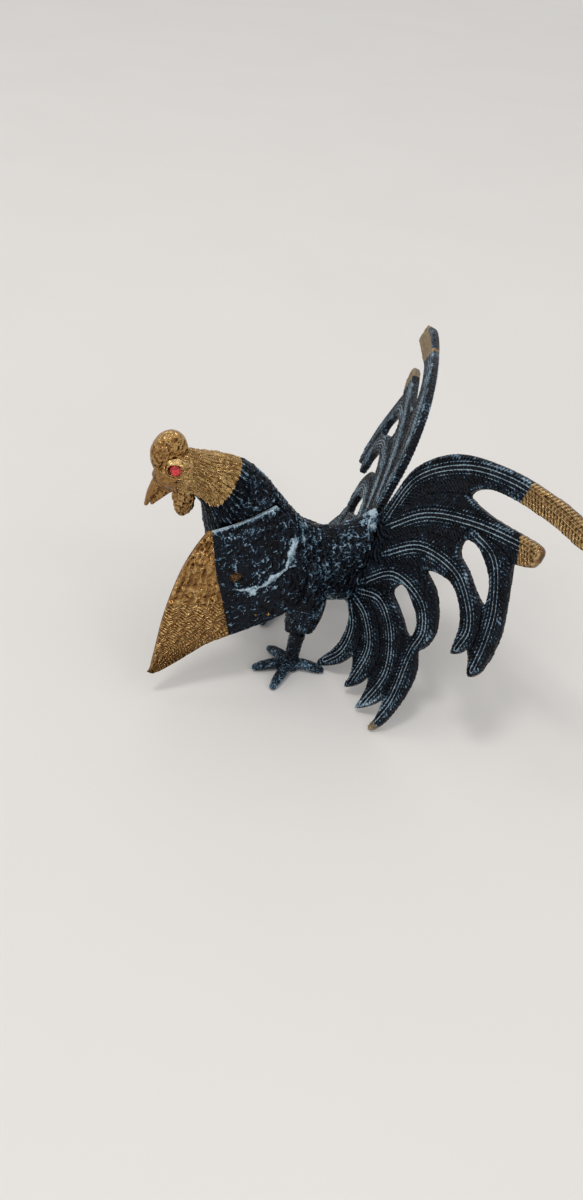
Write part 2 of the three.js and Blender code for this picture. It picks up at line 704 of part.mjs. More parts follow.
function place(name, geometry, finish, position = ORIGIN, along = UP) {
  const [color, roughness, metalness] = FINISHES[finish];
  const material = new THREE.MeshStandardMaterial({ color, roughness, metalness });
  geometry.computeVertexNormals();
  const mesh = new THREE.Mesh(geometry, material);
  mesh.name = name;
  mesh.position.copy(position);
  mesh.quaternion.setFromUnitVectors(UP, along.clone().normalize());
  bird.add(mesh);
}

function mirror(v) {
  return new THREE.Vector3(-v.x, v.y, v.z);
}

// A pair of round parts, one on each side.
function placeRoundPair(name, body, finish, position, along) {
  place(`${name}_left`, geometryOf(body), finish, position, along);
  place(`${name}_right`, geometryOf(body), finish, mirror(position), mirror(along));
}

place('body_half_left', geometryOf(bodyHalf(LEFT_WING)), 'patina');
place('body_half_right', mirrored(geometryOf(bodyHalf(RIGHT_WING))), 'patina');
place('wing_left', geometryOf(wing(LEFT_WING)), 'patina');
place('wing_right', mirrored(geometryOf(wing(RIGHT_WING))), 'patina');

const plate = geometryOf(tailPlate());
place('tail_plate_left', plate, 'patina');
place('tail_plate_right', mirrored(plate), 'patina');

const legShape = geometryOf(leg());
place('leg_left', legShape, 'patina', LEG_FOOT);
place('leg_right', mirrored(legShape), 'patina', mirror(LEG_FOOT));

const INWARDS = ACROSS.clone().negate();
const headSeatLeft = onScrew(LEFT_WING, LEFT_WING.headSeat).addScaledVector(ACROSS, FIT_GAP);
const headSeatRight = mirror(onScrew(RIGHT_WING, RIGHT_WING.headSeat).addScaledVector(ACROSS, FIT_GAP));
const nutSeatLeft = onScrew(LEFT_WING, LEFT_WING.nutSeat).addScaledVector(INWARDS, FIT_GAP);
const nutSeatRight = mirror(onScrew(RIGHT_WING, RIGHT_WING.nutSeat).addScaledVector(INWARDS, FIT_GAP));
const wingNut = nut(WING_NUT_FLATS, WING_SCREW_DIAMETER);
place('wing_screw_left', geometryOf(wingScrew(LEFT_WING)), 'brass', headSeatLeft, ACROSS);
place('wing_screw_right', geometryOf(wingScrew(RIGHT_WING)), 'brass', headSeatRight, INWARDS);
place('wing_nut_left', geometryOf(wingNut), 'brass', nutSeatLeft, INWARDS);
place('wing_nut_right', geometryOf(wingNut), 'brass', nutSeatRight, ACROSS);

const tailNut = nut(TAIL_NUT_FLATS, TAIL_SCREW_DIAMETER);
const legNut = nut(WING_NUT_FLATS, LEG_STUD_DIAMETER);
const eyeSeat = EYE_AT.clone().addScaledVector(EYE_AXIS, -1.6 + FIT_GAP);
const backwards = TAIL_NORMAL.clone().negate();
placeRoundPair('tail_screw', tailScrew(), 'brass', tailFixing(-TAIL_THICKNESS - FIT_GAP), backwards);
placeRoundPair('tail_nut', tailNut, 'brass', tailFixing(TAIL_NUT_DEPTH + FIT_GAP), TAIL_NORMAL);
placeRoundPair('leg_nut', legNut, 'brass', LEG_NUT_AT.clone().addScaledVector(STUD_AXIS, FIT_GAP), STUD_AXIS);
placeRoundPair('eye', eye(), 'glass', eyeSeat, EYE_AXIS);

// The origin goes to the bottom centre of the whole bird.
const bounds = new THREE.Box3().setFromObject(bird);
const middle = bounds.getCenter(new THREE.Vector3());
bird.position.set(-middle.x, -middle.y, -bounds.min.z);
const group = new THREE.Group();
group.name = 'fighting_cockerel';
group.add(bird);

export default group;
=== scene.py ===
import math

import bmesh
import bpy
import numpy as np
from mathutils import Matrix, Vector
from mathutils.kdtree import KDTree


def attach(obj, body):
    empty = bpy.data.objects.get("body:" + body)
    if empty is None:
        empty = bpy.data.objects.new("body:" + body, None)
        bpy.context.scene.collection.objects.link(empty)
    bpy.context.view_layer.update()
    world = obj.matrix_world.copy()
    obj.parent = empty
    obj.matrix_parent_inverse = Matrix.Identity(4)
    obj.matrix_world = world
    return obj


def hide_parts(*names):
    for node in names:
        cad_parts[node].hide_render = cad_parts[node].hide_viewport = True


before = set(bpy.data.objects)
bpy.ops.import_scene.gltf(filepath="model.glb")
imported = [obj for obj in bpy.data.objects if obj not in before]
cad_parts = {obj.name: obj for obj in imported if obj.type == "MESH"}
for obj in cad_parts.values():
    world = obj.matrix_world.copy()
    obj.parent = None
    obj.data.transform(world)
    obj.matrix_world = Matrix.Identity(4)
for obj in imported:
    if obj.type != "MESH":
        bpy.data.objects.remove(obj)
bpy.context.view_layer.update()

# Lengths below are in millimetres: forward, to the bird's left, up, from the ground point midway
# between the feet. MM and HOME turn them into the metres and the origin of the frame.
MM = 0.001
HOME = np.array([0.0, -13.0, 0.0])

# Voxel size and rounds of smoothing of each remeshed skin.
TAIL_SKIN, BODY_SKIN, HEAD_SKIN, LEG_SKIN = (0.5, 2), (0.46, 3), (0.27, 3), (0.3, 4)
# What a point of the metal has where nothing else is said.
TRAITS = {"bare": 0.0, "ridge": 0.15, "blue": 0.0, "dull": 0.0, "phase": 0.0, "quill": -1.0}


# ------------------------------------------------------------------ small helpers
def at(f, l, u):
    f, l, u = (np.asarray(v, float) for v in (f, l, u))
    return np.stack(np.broadcast_arrays(l, -f, u), -1)


def unit(v):
    return v / np.linalg.norm(v)


def lerp(a, b, t):
    return a + (b - a) * t


def smoothstep(a, b, x):
    t = np.clip((x - a) / (b - a), 0, 1)
    return t * t * (3 - 2 * t)


def bump(x, width):
    return np.exp(-(x / width) ** 2)


def rows_at(rows, x):
    """Catmull-Rom value of a table of rows at fractional indices."""
    rows = np.asarray(rows, float)
    x = np.asarray(x, float)
    last = len(rows) - 1
    i = np.clip(np.floor(x).astype(int), 0, last - 1)
    t = (x - i)[..., None]
    p0, p1 = rows[np.maximum(i - 1, 0)], rows[i]
    p2, p3 = rows[i + 1], rows[np.minimum(i + 2, last)]
    return 0.5 * (2 * p1 + (p2 - p0) * t + (2 * p0 - 5 * p1 + 4 * p2 - p3) * t ** 2
                  + (3 * p1 - p0 - 3 * p2 + p3) * t ** 3)


def curve_through(points, closed=False, per_span=12):
    """Smooth run of points through the given ones."""
    p = np.asarray(points, float)
    n = len(p)
    out = []
    for i in range(n if closed else n - 1):
        a = p[(i - 1) % n] if closed or i > 0 else 2 * p[0] - p[1]
        b, c = p[i], p[(i + 1) % n]
        d = p[(i + 2) % n] if closed or i < n - 2 else 2 * p[-1] - p[-2]
        for t in np.arange(per_span) / per_span:
            out.append(0.5 * (2 * b + (c - a) * t + (2 * a - 5 * b + 4 * c - d) * t * t
                              + (3 * b - a - 3 * c + d) * t ** 3))
    if not closed:
        out.append(p[-1])
    return np.array(out)


def hashed(i, j, k, seed):
    n = (i * 73856093) ^ (j * 19349663) ^ (k * 83492791) ^ (seed * 668265263)
    n = ((n ^ (n >> 13)) * 1274126177) & 0xFFFFFFFF
    return ((n ^ (n >> 16)) & 0xFFFF) / 65535.0


def noise(p, size, seed=0):
    """Smooth value noise from 0 to 1 with cells of the given size."""
    q = np.asarray(p, float) / size
    if q.shape[-1] == 2:
        q = np.concatenate([q, np.zeros(q.shape[:-1] + (1,))], -1)
    i = np.floor(q).astype(np.int64)
    f = q - i
    f = f * f * (3 - 2 * f)
    total = 0
    for a in (0, 1):
        for b in (0, 1):
            for c in (0, 1):
                w = (f[..., 0] if a else 1 - f[..., 0]) * (f[..., 1] if b else 1 - f[..., 1])
                w = w * (f[..., 2] if c else 1 - f[..., 2])
                total = total + w * hashed(i[..., 0] + a, i[..., 1] + b, i[..., 2] + c, seed)
    return total


def layered(p, size, seed=0):
    return 0.6 * noise(p, size, seed) + 0.4 * noise(p, size * 0.45, seed + 7)


def shingles(a, b):
    """Overlapping rounded feathers in rows. a counts feathers across, b counts rows towards the tips.
    Returns distance back from the feather's tip and place across it (-1 to 1)."""
    def across(row):
        return 2 * np.mod(a + 0.5 * np.mod(row, 2), 1) - 1

    def arc(c):
        return 0.62 * np.sqrt(np.maximum(0, 1 - c * c))

    k = np.floor(b)
    prior = k - 1
    row = np.where(b < k + arc(across(prior)), prior, k)
    c = across(row)
    return row + 1 + arc(c) - b, c


def plump(high, tip, c, reach, fall):
    """Height of a rounded feather, falling back from its tip and off to its sides."""
    return high * (1 - np.clip(tip, 0, reach) / reach) * (1 - fall * c * c)


def strands(a, b, seed=0):
    """Long narrow feathers side by side, broken at random lengths. Returns place across the feather
    (-1 to 1), place along it (1 at its tip) and a random number."""
    column = np.floor(a)
    c = 2 * (a - column) - 1
    column = column.astype(np.int64)
    q = b + 3 * hashed(column, column * 0, column * 0, seed) - 0.4 * np.abs(c)
    k = np.floor(q)
    return c, q - k, hashed(column, k.astype(np.int64), column * 0, seed + 1)


def veins(p, size, seed=0):
    """Thin wandering raised lines, 0 to 1."""
    n = 0.75 * noise(p, size, seed) + 0.25 * noise(p, size * 0.4, seed + 5)
    return smoothstep(0.72, 0.97, 1 - np.abs(2 * n - 1) * 2.2)


# ------------------------------------------------------------------ mesh helpers
def mesh_of(name, points, faces):
    mesh = bpy.data.meshes.new(name)
    mesh.from_pydata([tuple(p) for p in points], [], [tuple(f) for f in faces])
    mesh.update()
    return mesh


def tube(rings):
    """Points and faces of a closed tube through an array of rings."""
    m, n = rings.shape[:2]
    i, j = np.meshgrid(np.arange(m - 1), np.arange(n), indexing="ij")
    a = i * n + j
    b = i * n + (j + 1) % n
    faces = np.stack([a, b, b + n, a + n], -1).reshape(-1, 4).tolist()
    faces += [list(range(n))[::-1], list(range((m - 1) * n, m * n))]
    return rings.reshape(-1, 3).tolist(), faces


def bar_rings(path, radii, sides=40):
    """Rings round a bent bar, with rounded ends."""
    spine = curve_through(path, per_span=8)
    size = np.interp(np.linspace(0, len(path) - 1, len(spine)), range(len(path)), radii)
    first, last = unit(spine[0] - spine[1]), unit(spine[-1] - spine[-2])
    turn = np.radians([80, 60, 40, 20])
    spine = np.concatenate([[spine[0] + first * size[0] * math.sin(t) * 0.9 for t in turn], spine,
                            [spine[-1] + last * size[-1] * math.sin(t) * 0.9 for t in turn[::-1]]])
    size = np.concatenate([size[0] * np.cos(turn), size, size[-1] * np.cos(turn[::-1])])
    side = np.array([0.31, 0.17, 0.93])
    rings = []
    angle = np.linspace(0, 2 * math.pi, sides, endpoint=False)
    for i, p in enumerate(spine):
        along = unit(spine[min(i + 1, len(spine) - 1)] - spine[max(i - 1, 0)])
        side = unit(side - along * side.dot(along))
        other = np.cross(along, side)
        rings.append(p + size[i] * (np.cos(angle)[:, None] * side + np.sin(angle)[:, None] * other))
    return np.array(rings)


def lump_rings(centre, ax, ay, az, wide=32, high=20):
    polar = np.linspace(0, math.pi, high + 1)[1:-1]
    angle = np.linspace(0, 2 * math.pi, wide, endpoint=False)
    p, a = np.meshgrid(polar, angle, indexing="ij")
    return (np.asarray(centre) + np.cos(p)[..., None] * az
            + (np.sin(p) * np.cos(a))[..., None] * ax + (np.sin(p) * np.sin(a))[..., None] * ay)


def joined(parts):
    points, faces = [], []
    for p, f in parts:
        base = len(points)
        points += p
        faces += [[i + base for i in face] for face in f]
    return points, faces


def linked(name, data):
    """A new object in the scene."""
    item = bpy.data.objects.new(name, data)
    bpy.context.scene.collection.objects.link(item)
    return item


def evaluated_mesh(holder):
    """What an object comes to with its modifiers, as a new mesh. The object itself goes."""
    bpy.context.view_layer.update()
    evaluated = holder.evaluated_get(bpy.context.evaluated_depsgraph_get())
    mesh = bpy.data.meshes.new_from_object(evaluated)
    bpy.data.objects.remove(holder)
    return mesh


def cut_mesh(mesh, point, normal):
    """Keeps the side of a closed mesh that the normal points to, and closes the cut."""
    bm = bmesh.new()
    bm.from_mesh(mesh)
    geom = bm.verts[:] + bm.edges[:] + bm.faces[:]
    done = bmesh.ops.bisect_plane(bm, geom=geom, plane_co=point, plane_no=normal, clear_inner=True)
    edges = [e for e in done["geom_cut"] if isinstance(e, bmesh.types.BMEdge)]
    bmesh.ops.holes_fill(bm, edges=edges, sides=0)
    bm.to_mesh(mesh)
    bm.free()


def remeshed(mesh, voxel, smoothing):
    """One skin over everything in the mesh."""
    work = linked("work", mesh)
    remesh = work.modifiers.new("skin", "REMESH")
    remesh.mode = "VOXEL"
    remesh.voxel_size = voxel
    soften = work.modifiers.new("soften", "SMOOTH")
    soften.factor = 0.5
    soften.iterations = smoothing
    result = evaluated_mesh(work)
    bpy.data.meshes.remove(mesh)
    return result


def surface_of(mesh):
    """Points and normals of a mesh."""
    found = []
    for items, field in ((mesh.vertices, "co"), (mesh.vertex_normals, "vector")):
        flat = np.zeros(len(items) * 3, np.float32)
        items.foreach_get(field, flat)
        found.append(flat.reshape(-1, 3).astype(float))
    return found


def neighbours_mean(mesh, values, times=1):
    edges = np.zeros(len(mesh.edges) * 2, np.int32)
    mesh.edges.foreach_get("vertices", edges)
    edges = edges.reshape(-1, 2)
    count = np.bincount(edges.ravel(), minlength=len(values)).astype(float)
    out = values.astype(float)
    for _ in range(times):
        total = np.bincount(edges[:, 0], out[edges[:, 1]], len(values))
        total += np.bincount(edges[:, 1], out[edges[:, 0]], len(values))
        out = 0.5 * out + 0.5 * total / np.maximum(count, 1)
    return out


def finish_piece(name, mesh, points, traits, material, nodes, smooth=True):
    """Puts moved points and surface traits on a mesh and makes it a piece of the frame."""
    mesh.name = name
    place = (points + HOME) * MM
    mesh.vertices.foreach_set("co", place.astype(np.float32).ravel())
    mesh.polygons.foreach_set("use_smooth", [smooth] * len(mesh.polygons))
    for trait, value in ({**TRAITS, **traits} if traits else {}).items():
        layer = mesh.attributes.new(trait, "FLOAT", "POINT")
        full = np.broadcast_to(np.asarray(value, float), (len(points),))
        layer.data.foreach_set("value", full.astype(np.float32))
    mesh.materials.clear()
    mesh.materials.append(material)
    mesh.update()
    piece = linked(name, mesh)
    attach(piece, "root")
    if nodes:
        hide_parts(*nodes)


def nearest_sample(samples, points):
    tree = KDTree(len(samples))
    for i, p in enumerate(samples):
        tree.insert(p, i)
    tree.balance()
    return np.array([tree.find(p)[1] for p in points])


# ------------------------------------------------------------------ materials
class Surface:
    """A new material, with short names for the nodes it is built of. Noise sizes are in millimetres."""

    def __init__(self, name):
        self.material = bpy.data.materials.new(name)
        self.material.use_nodes = True
        self.nodes, self.links = self.material.node_tree.nodes, self.material.node_tree.links
        self.shader = self.nodes["Principled BSDF"]
        self.where = self.nodes.new("ShaderNodeTexCoord").outputs["Object"]

    def feed(self, socket, value):
        if isinstance(value, (int, float)):
            socket.default_value = value
        elif isinstance(value, tuple):
            socket.default_value = (*value, 1.0)
        else:
            self.links.new(value, socket)

    def math(self, operation, *values):
        node = self.nodes.new("ShaderNodeMath")
        node.operation = operation
        for socket, value in zip(node.inputs, values):
            self.feed(socket, value)
        return node.outputs[0]

    def times(self, a, b):
        return self.math("MULTIPLY", a, b)

    def add(self, first, *others):
        for other in others:
            first = self.math("ADD", first, other)
        return first

    def mix(self, factor, a, b):
        node = self.nodes.new("ShaderNodeMix")
        node.data_type = "RGBA"
        self.feed(node.inputs["Factor"], factor)
        self.feed(node.inputs[6], a)
        self.feed(node.inputs[7], b)
        return node.outputs[2]

    def ramp(self, value, low, high, to_low=0.0, to_high=1.0):
        node = self.nodes.new("ShaderNodeMapRange")
        self.links.new(value, node.inputs["Value"])
        node.inputs["From Min"].default_value = low
        node.inputs["From Max"].default_value = high
        node.inputs["To Min"].default_value = to_low
        node.inputs["To Max"].default_value = to_high
        return node.outputs["Result"]

    def noise(self, size, detail=3.0, roughness=0.55):
        node = self.nodes.new("ShaderNodeTexNoise")
        self.links.new(self.where, node.inputs["Vector"])
        node.inputs["Scale"].default_value = 1 / (size * MM)
        node.inputs["Detail"].default_value = detail
        node.inputs["Roughness"].default_value = roughness
        return node.outputs["Fac"]

    def trait(self, name):
        node = self.nodes.new("ShaderNodeAttribute")
        node.attribute_name = name
        return node.outputs["Fac"]


def cast_metal(name, bare_default=None, verdigris=1.0):
    """Cast brass with a blue-black patina. The traits of the mesh say where the cast stands proud,
    where verdigris has gathered and where the metal has been left bare."""
    s = Surface(name)
    shader = s.shader
    coarse = s.noise(6.0, 2.0)
    medium = s.noise(0.9, 4.0, 0.7)
    fine = s.noise(0.5, 3.0, 0.65)
    dents = s.noise(1.8, 0.6, 0.4)
    ridge, blue, dull, quill = (s.trait(t) for t in ("ridge", "blue", "dull", "quill"))
    barbs = s.math("SINE", s.times(s.trait("phase"), 2 * math.pi))

    # thin raised lines beside each midrib, from the distance to it in millimetres
    lines = s.ramp(s.math("PINGPONG", s.add(quill, 0.75), 0.85), 0.34, 0.08)
    lines = s.times(lines, s.ramp(quill, 6.0, 1.6, 0.12, 1.0))
    lines = s.times(lines, s.ramp(quill, 0.05, 0.2))

    # verdigris clings to raised lines and in specks
    reach = s.add(s.times(ridge, 0.45), blue, s.times(medium, 2.1), s.times(coarse, 0.55),
                  s.times(lines, 0.44), s.times(barbs, 0.1))
    amount = s.ramp(reach, 1.82, 1.95, 0.0, verdigris)
    amount = s.times(amount, s.ramp(fine, 0.3, 0.55, 0.55, 1.0))
    ground = s.mix(s.ramp(coarse, 0.4, 0.65), (0.003, 0.0037, 0.0062), (0.0045, 0.008, 0.015))
    ground = s.mix(s.ramp(fine, 0.55, 0.8, 0.0, 0.35), ground, (0.02, 0.03, 0.044))
    pale = s.mix(s.ramp(reach, 1.95, 2.38), (0.07, 0.15, 0.235), (0.50, 0.64, 0.74))
    patina = s.mix(amount, ground, pale)

    # bare brass, dark in its hollows and bright on its high lines
    height = s.add(ridge, s.times(fine, 1.9), s.times(barbs, 0.35), s.times(lines, 0.7))
    if bare_default is not None:
        height = s.add(height, 0.5)
    brass = s.mix(s.ramp(height, 0.95, 1.45), (0.06, 0.024, 0.008), (0.35, 0.185, 0.062))
    brass = s.mix(s.ramp(height, 1.5, 2.1), brass, (0.74, 0.53, 0.24))
    brass = s.mix(s.ramp(coarse, 0.42, 0.7, 0.0, 0.5), brass, (0.2, 0.1, 0.034))
    brass = s.mix(dull, brass, (0.26, 0.215, 0.155))

    if bare_default is None:
        bare = s.ramp(s.math("MULTIPLY_ADD", medium, 0.06, s.trait("bare")), 0.52, 0.545)
    else:
        bare = s.times(s.ramp(medium, 0.47, 0.54), bare_default)
    s.links.new(s.mix(bare, patina, brass), shader.inputs["Base Color"])
    s.links.new(s.ramp(bare, 0.0, 1.0, 0.12, 0.95), shader.inputs["Metallic"])
    shader.inputs["Specular IOR Level"].default_value = 0.13
    rough = s.add(s.ramp(fine, 0.3, 0.7, 0.22, 0.11), s.times(amount, 0.3), s.times(dull, 0.25))
    s.links.new(rough, shader.inputs["Roughness"])

    # cast grain, and the fine barbs drawn along each feather
    drawn = s.add(s.times(barbs, 0.4), s.times(lines, 1.3))
    grain = s.add(s.times(fine, 0.25), s.times(medium, 0.6), s.times(dents, 3.8))
    relief = s.nodes.new("ShaderNodeBump")
    relief.inputs["Strength"].default_value = 1.0
    relief.inputs["Distance"].default_value = 0.42 * MM
    s.links.new(s.add(grain, drawn), relief.inputs["Height"])
    s.links.new(relief.outputs["Normal"], shader.inputs["Normal"])
    return s.material


# ------------------------------------------------------------------ trunk
# Sections of the trunk from rump to beak: forward and up of the top, forward and up of the bottom,
# half width, and how far the width sinks below the middle.
STATIONS = [
    [-56, 86, -42, 20, 10, 0.5], [-42, 75, -31, 25, 12, 0.5], [-31, 69, -24, 28, 13.5, 0.45],
    [-20, 66, -16, 30, 15.5, 0.35], [-10, 68, -7, 31, 18, 0.25], [0, 78, 5, 31.5, 20, 0.3],
    [8, 89, 19, 36, 21, 0.35], [15, 98, 31, 47, 20, 0.35], [22, 104, 38, 61, 17.5, 0.3],
    [31, 107.5, 40.5, 74, 13.5, 0.15], [39, 109, 42, 85, 10.5, 0], [46, 110.5, 46, 91, 8.6, 0],
    [52, 111, 50.5, 92.5, 8, 0], [58, 109, 55.5, 93.5, 7, 0], [62, 104.5, 59.5, 94, 5, 0],
    [64, 100.5, 62, 95, 2.4, 0],
]
KNEE = at(-2.4, 22, 22)
STUD_AXIS = unit(at(-6, 7.5, 46) - KNEE)


def skin_point(x, angle, inset=0.0):
    r = rows_at(STATIONS, x)
    tf, tu, bf, bu, w, skew = (r[..., i] for i in range(6))
    half = np.hypot(tf - bf, tu - bu) / 2
    k = 1 - inset / half
    c, s = np.cos(angle), np.sin(angle)
    wide = np.maximum(w - inset, 1) * s * (1 - skew * c) * (1 + 0.12 * c * c)
    return at((tf + bf) / 2 + (tf - bf) / 2 * k * c, wide, (tu + bu) / 2 + (tu - bu) / 2 * k * c)


def skin_rings(x0, x1, step, count, inset=0.0):
    x = np.arange(x0, x1 + 1e-6, step)
    angle = np.linspace(0, 2 * math.pi, count, endpoint=False)
    xx, aa = np.meshgrid(x, angle, indexing="ij")
    return skin_point(xx, aa, inset)


# ------------------------------------------------------------------ wings
# Rows from shoulder to tip: forward, out and up of one edge, the same of the other, and the arch.
LEFT_WING = [
    [42, 19, 81, 9, 8.5, 86.5, 2.5], [47.5, 20, 74.5, -1, 11.5, 75.5, 5],
    [54, 22, 64, -3, 20, 65, 4.5], [60, 25, 50, -3, 24, 51, 3.5], [64, 27.5, 38, 3, 26.5, 40, 2.5],
    [66.7, 30, 28, 20, 28.5, 33.5, 1.5], [68.7, 31.5, 20.5, 41, 30, 27.5, 0.8],
    [70, 32.6, 15.5, 60, 32.2, 16.5, 0.2], [71, 33, 14, 68, 33, 12.8, 0],
]
RIGHT_WING = [
    [36, 15, 61, 37, 14.5, 75, 2], [30, 20, 55, 31, 15.5, 82, 4], [18, 23.5, 51, 17, 14.5, 83.5, 4.5],
    [6, 23.5, 48.5, 4, 14, 73, 4], [-6, 22, 47.5, -8, 15.5, 64, 2.5],
    [-17, 19.5, 48, -18, 16.5, 58.5, 1.2], [-26, 17.5, 49.5, -27, 16.8, 53.5, 0.4],
]
WING_THICKNESS = 2.6


def wing_point(rows, s, t):
    r = rows_at(rows, t * (len(rows) - 1))
    arch = 4 * s * (1 - s) * r[..., 6]
    return at(lerp(r[..., 0], r[..., 3], s), lerp(r[..., 1], r[..., 4], s) + arch,
              lerp(r[..., 2], r[..., 5], s) + arch * 0.15)


def wing_normal(rows, s, t):
    e = 0.01
    ds = wing_point(rows, s + e, t) - wing_point(rows, s - e, t)
    dt = wing_point(rows, s, np.minimum(t + e, 1)) - wing_point(rows, s, np.maximum(t - e, 0))
    n = np.cross(dt, ds)
    return n / np.maximum(np.linalg.norm(n, axis=-1, keepdims=True), 1e-9)


def under_wing(rows, points, side):
    """Keeps points of the body behind the inner face of a wing."""
    s, t = np.meshgrid(np.linspace(0, 1, 60), np.linspace(0, 1, 110), indexing="ij")
    inner = wing_point(rows, s, t) - wing_normal(rows, s, t) * (WING_THICKNESS + 0.1)
    inner = inner.reshape(-1, 3)
    cell = 1.0
    low = inner[:, [1, 2]].min(0) - 3
    shape = np.ceil((inner[:, [1, 2]].max(0) + 3 - low) / cell).astype(int) + 1
    limit = np.full(tuple(shape), np.inf)
    index = np.round((inner[:, [1, 2]] - low) / cell).astype(int)
    np.minimum.at(limit, (index[:, 0], index[:, 1]), inner[:, 0])
    for _ in range(2):
        grown = limit.copy()
        for axis in (0, 1):
            for shift in (-1, 1):
                moved = np.roll(limit, shift, axis)
                grown = np.where(np.isfinite(grown), grown, moved)
        limit = grown
    where = np.round((points[:, [1, 2]] - low) / cell).astype(int)
    inside = ((where >= 0) & (where < shape)).all(1)
    where = np.clip(where, 0, shape - 1)
    cap = np.where(inside, limit[where[:, 0], where[:, 1]], np.inf) - 0.25
    across = points[:, 0] * side
    hit = (across > cap) & (across > 5)
    out = points.copy()
    out[:, 0] = np.where(hit, cap, across) * side
    return out, hit


def wing_piece(name, rows, side, relief, nodes, material, screw):
    """A wing as one closed sheet, its outer face worked by a relief function."""
    ns, nt = (150, 270) if side > 0 else (110, 230)
    s, t = np.meshgrid(np.linspace(0, 1, ns), np.linspace(0, 1, nt), indexing="ij")
    face = wing_point(rows, s, t)
    normal = wing_normal(rows, s, t)
    # distance from the rim, measured over the grid
    wide = np.linalg.norm(np.diff(face, axis=0), axis=-1).sum(0)[None, :]
    length = np.linalg.norm(np.diff(face, axis=1), axis=-1).sum(1)[:, None]
    rim = np.minimum(np.minimum(s, 1 - s) * wide, np.minimum(t, 1 - t) * length)
    curve = 1.25
    turned = np.clip(rim / curve, 0, 1)
    drop = curve * (1 - np.sqrt(np.maximum(0, 1 - (1 - turned) ** 2)))
    height, traits = relief(s, t, face, rim)
    thick = WING_THICKNESS * (1 - 0.45 * t ** 6)
    outer = face + normal * (height * smoothstep(0, 1.2, rim) - drop)[..., None]
    rough = 0.12 * layered(face, 2.0, 3)
    inner = face - normal * (thick - drop * 0.8 - rough)[..., None]
    # flat seat for the screw head
    f, u, seat = screw
    gap = np.hypot(outer[..., 1] + f, outer[..., 2] - u)
    on_seat = gap < 3.0
    outer[..., 0] = np.where(on_seat, seat, outer[..., 0])
    n = ns * nt
    i, j = np.meshgrid(np.arange(ns - 1), np.arange(nt - 1), indexing="ij")
    a = i * nt + j
    quads = np.stack([a, a + 1, a + nt + 1, a + nt], -1).reshape(-1, 4)
    back = quads[:, ::-1] + n
    loop = np.concatenate([np.arange(ns - 1) * nt, (ns - 1) * nt + np.arange(nt - 1),
                           np.arange(ns - 1, 0, -1) * nt + nt - 1, np.arange(nt - 1, 0, -1)])
    nxt = np.roll(loop, -1)
    edge = np.stack([loop, nxt, nxt + n, loop + n], -1)
    points = np.concatenate([outer.reshape(-1, 3), inner.reshape(-1, 3)])
    faces = np.concatenate([quads[:, ::-1], back[:, ::-1], edge])
    if side < 0:
        points = points * np.array([-1, 1, 1])
        faces = faces[:, ::-1]
    mesh = mesh_of(name, points, faces.tolist())
    full = {}
    for k, base in TRAITS.items():
        value = np.broadcast_to(traits.get(k, base), (ns, nt)).ravel()
        under = value if k == "bare" else np.full(n, base)
        full[k] = np.concatenate([value, under])
    finish_piece(name, mesh, points, full, material, nodes)


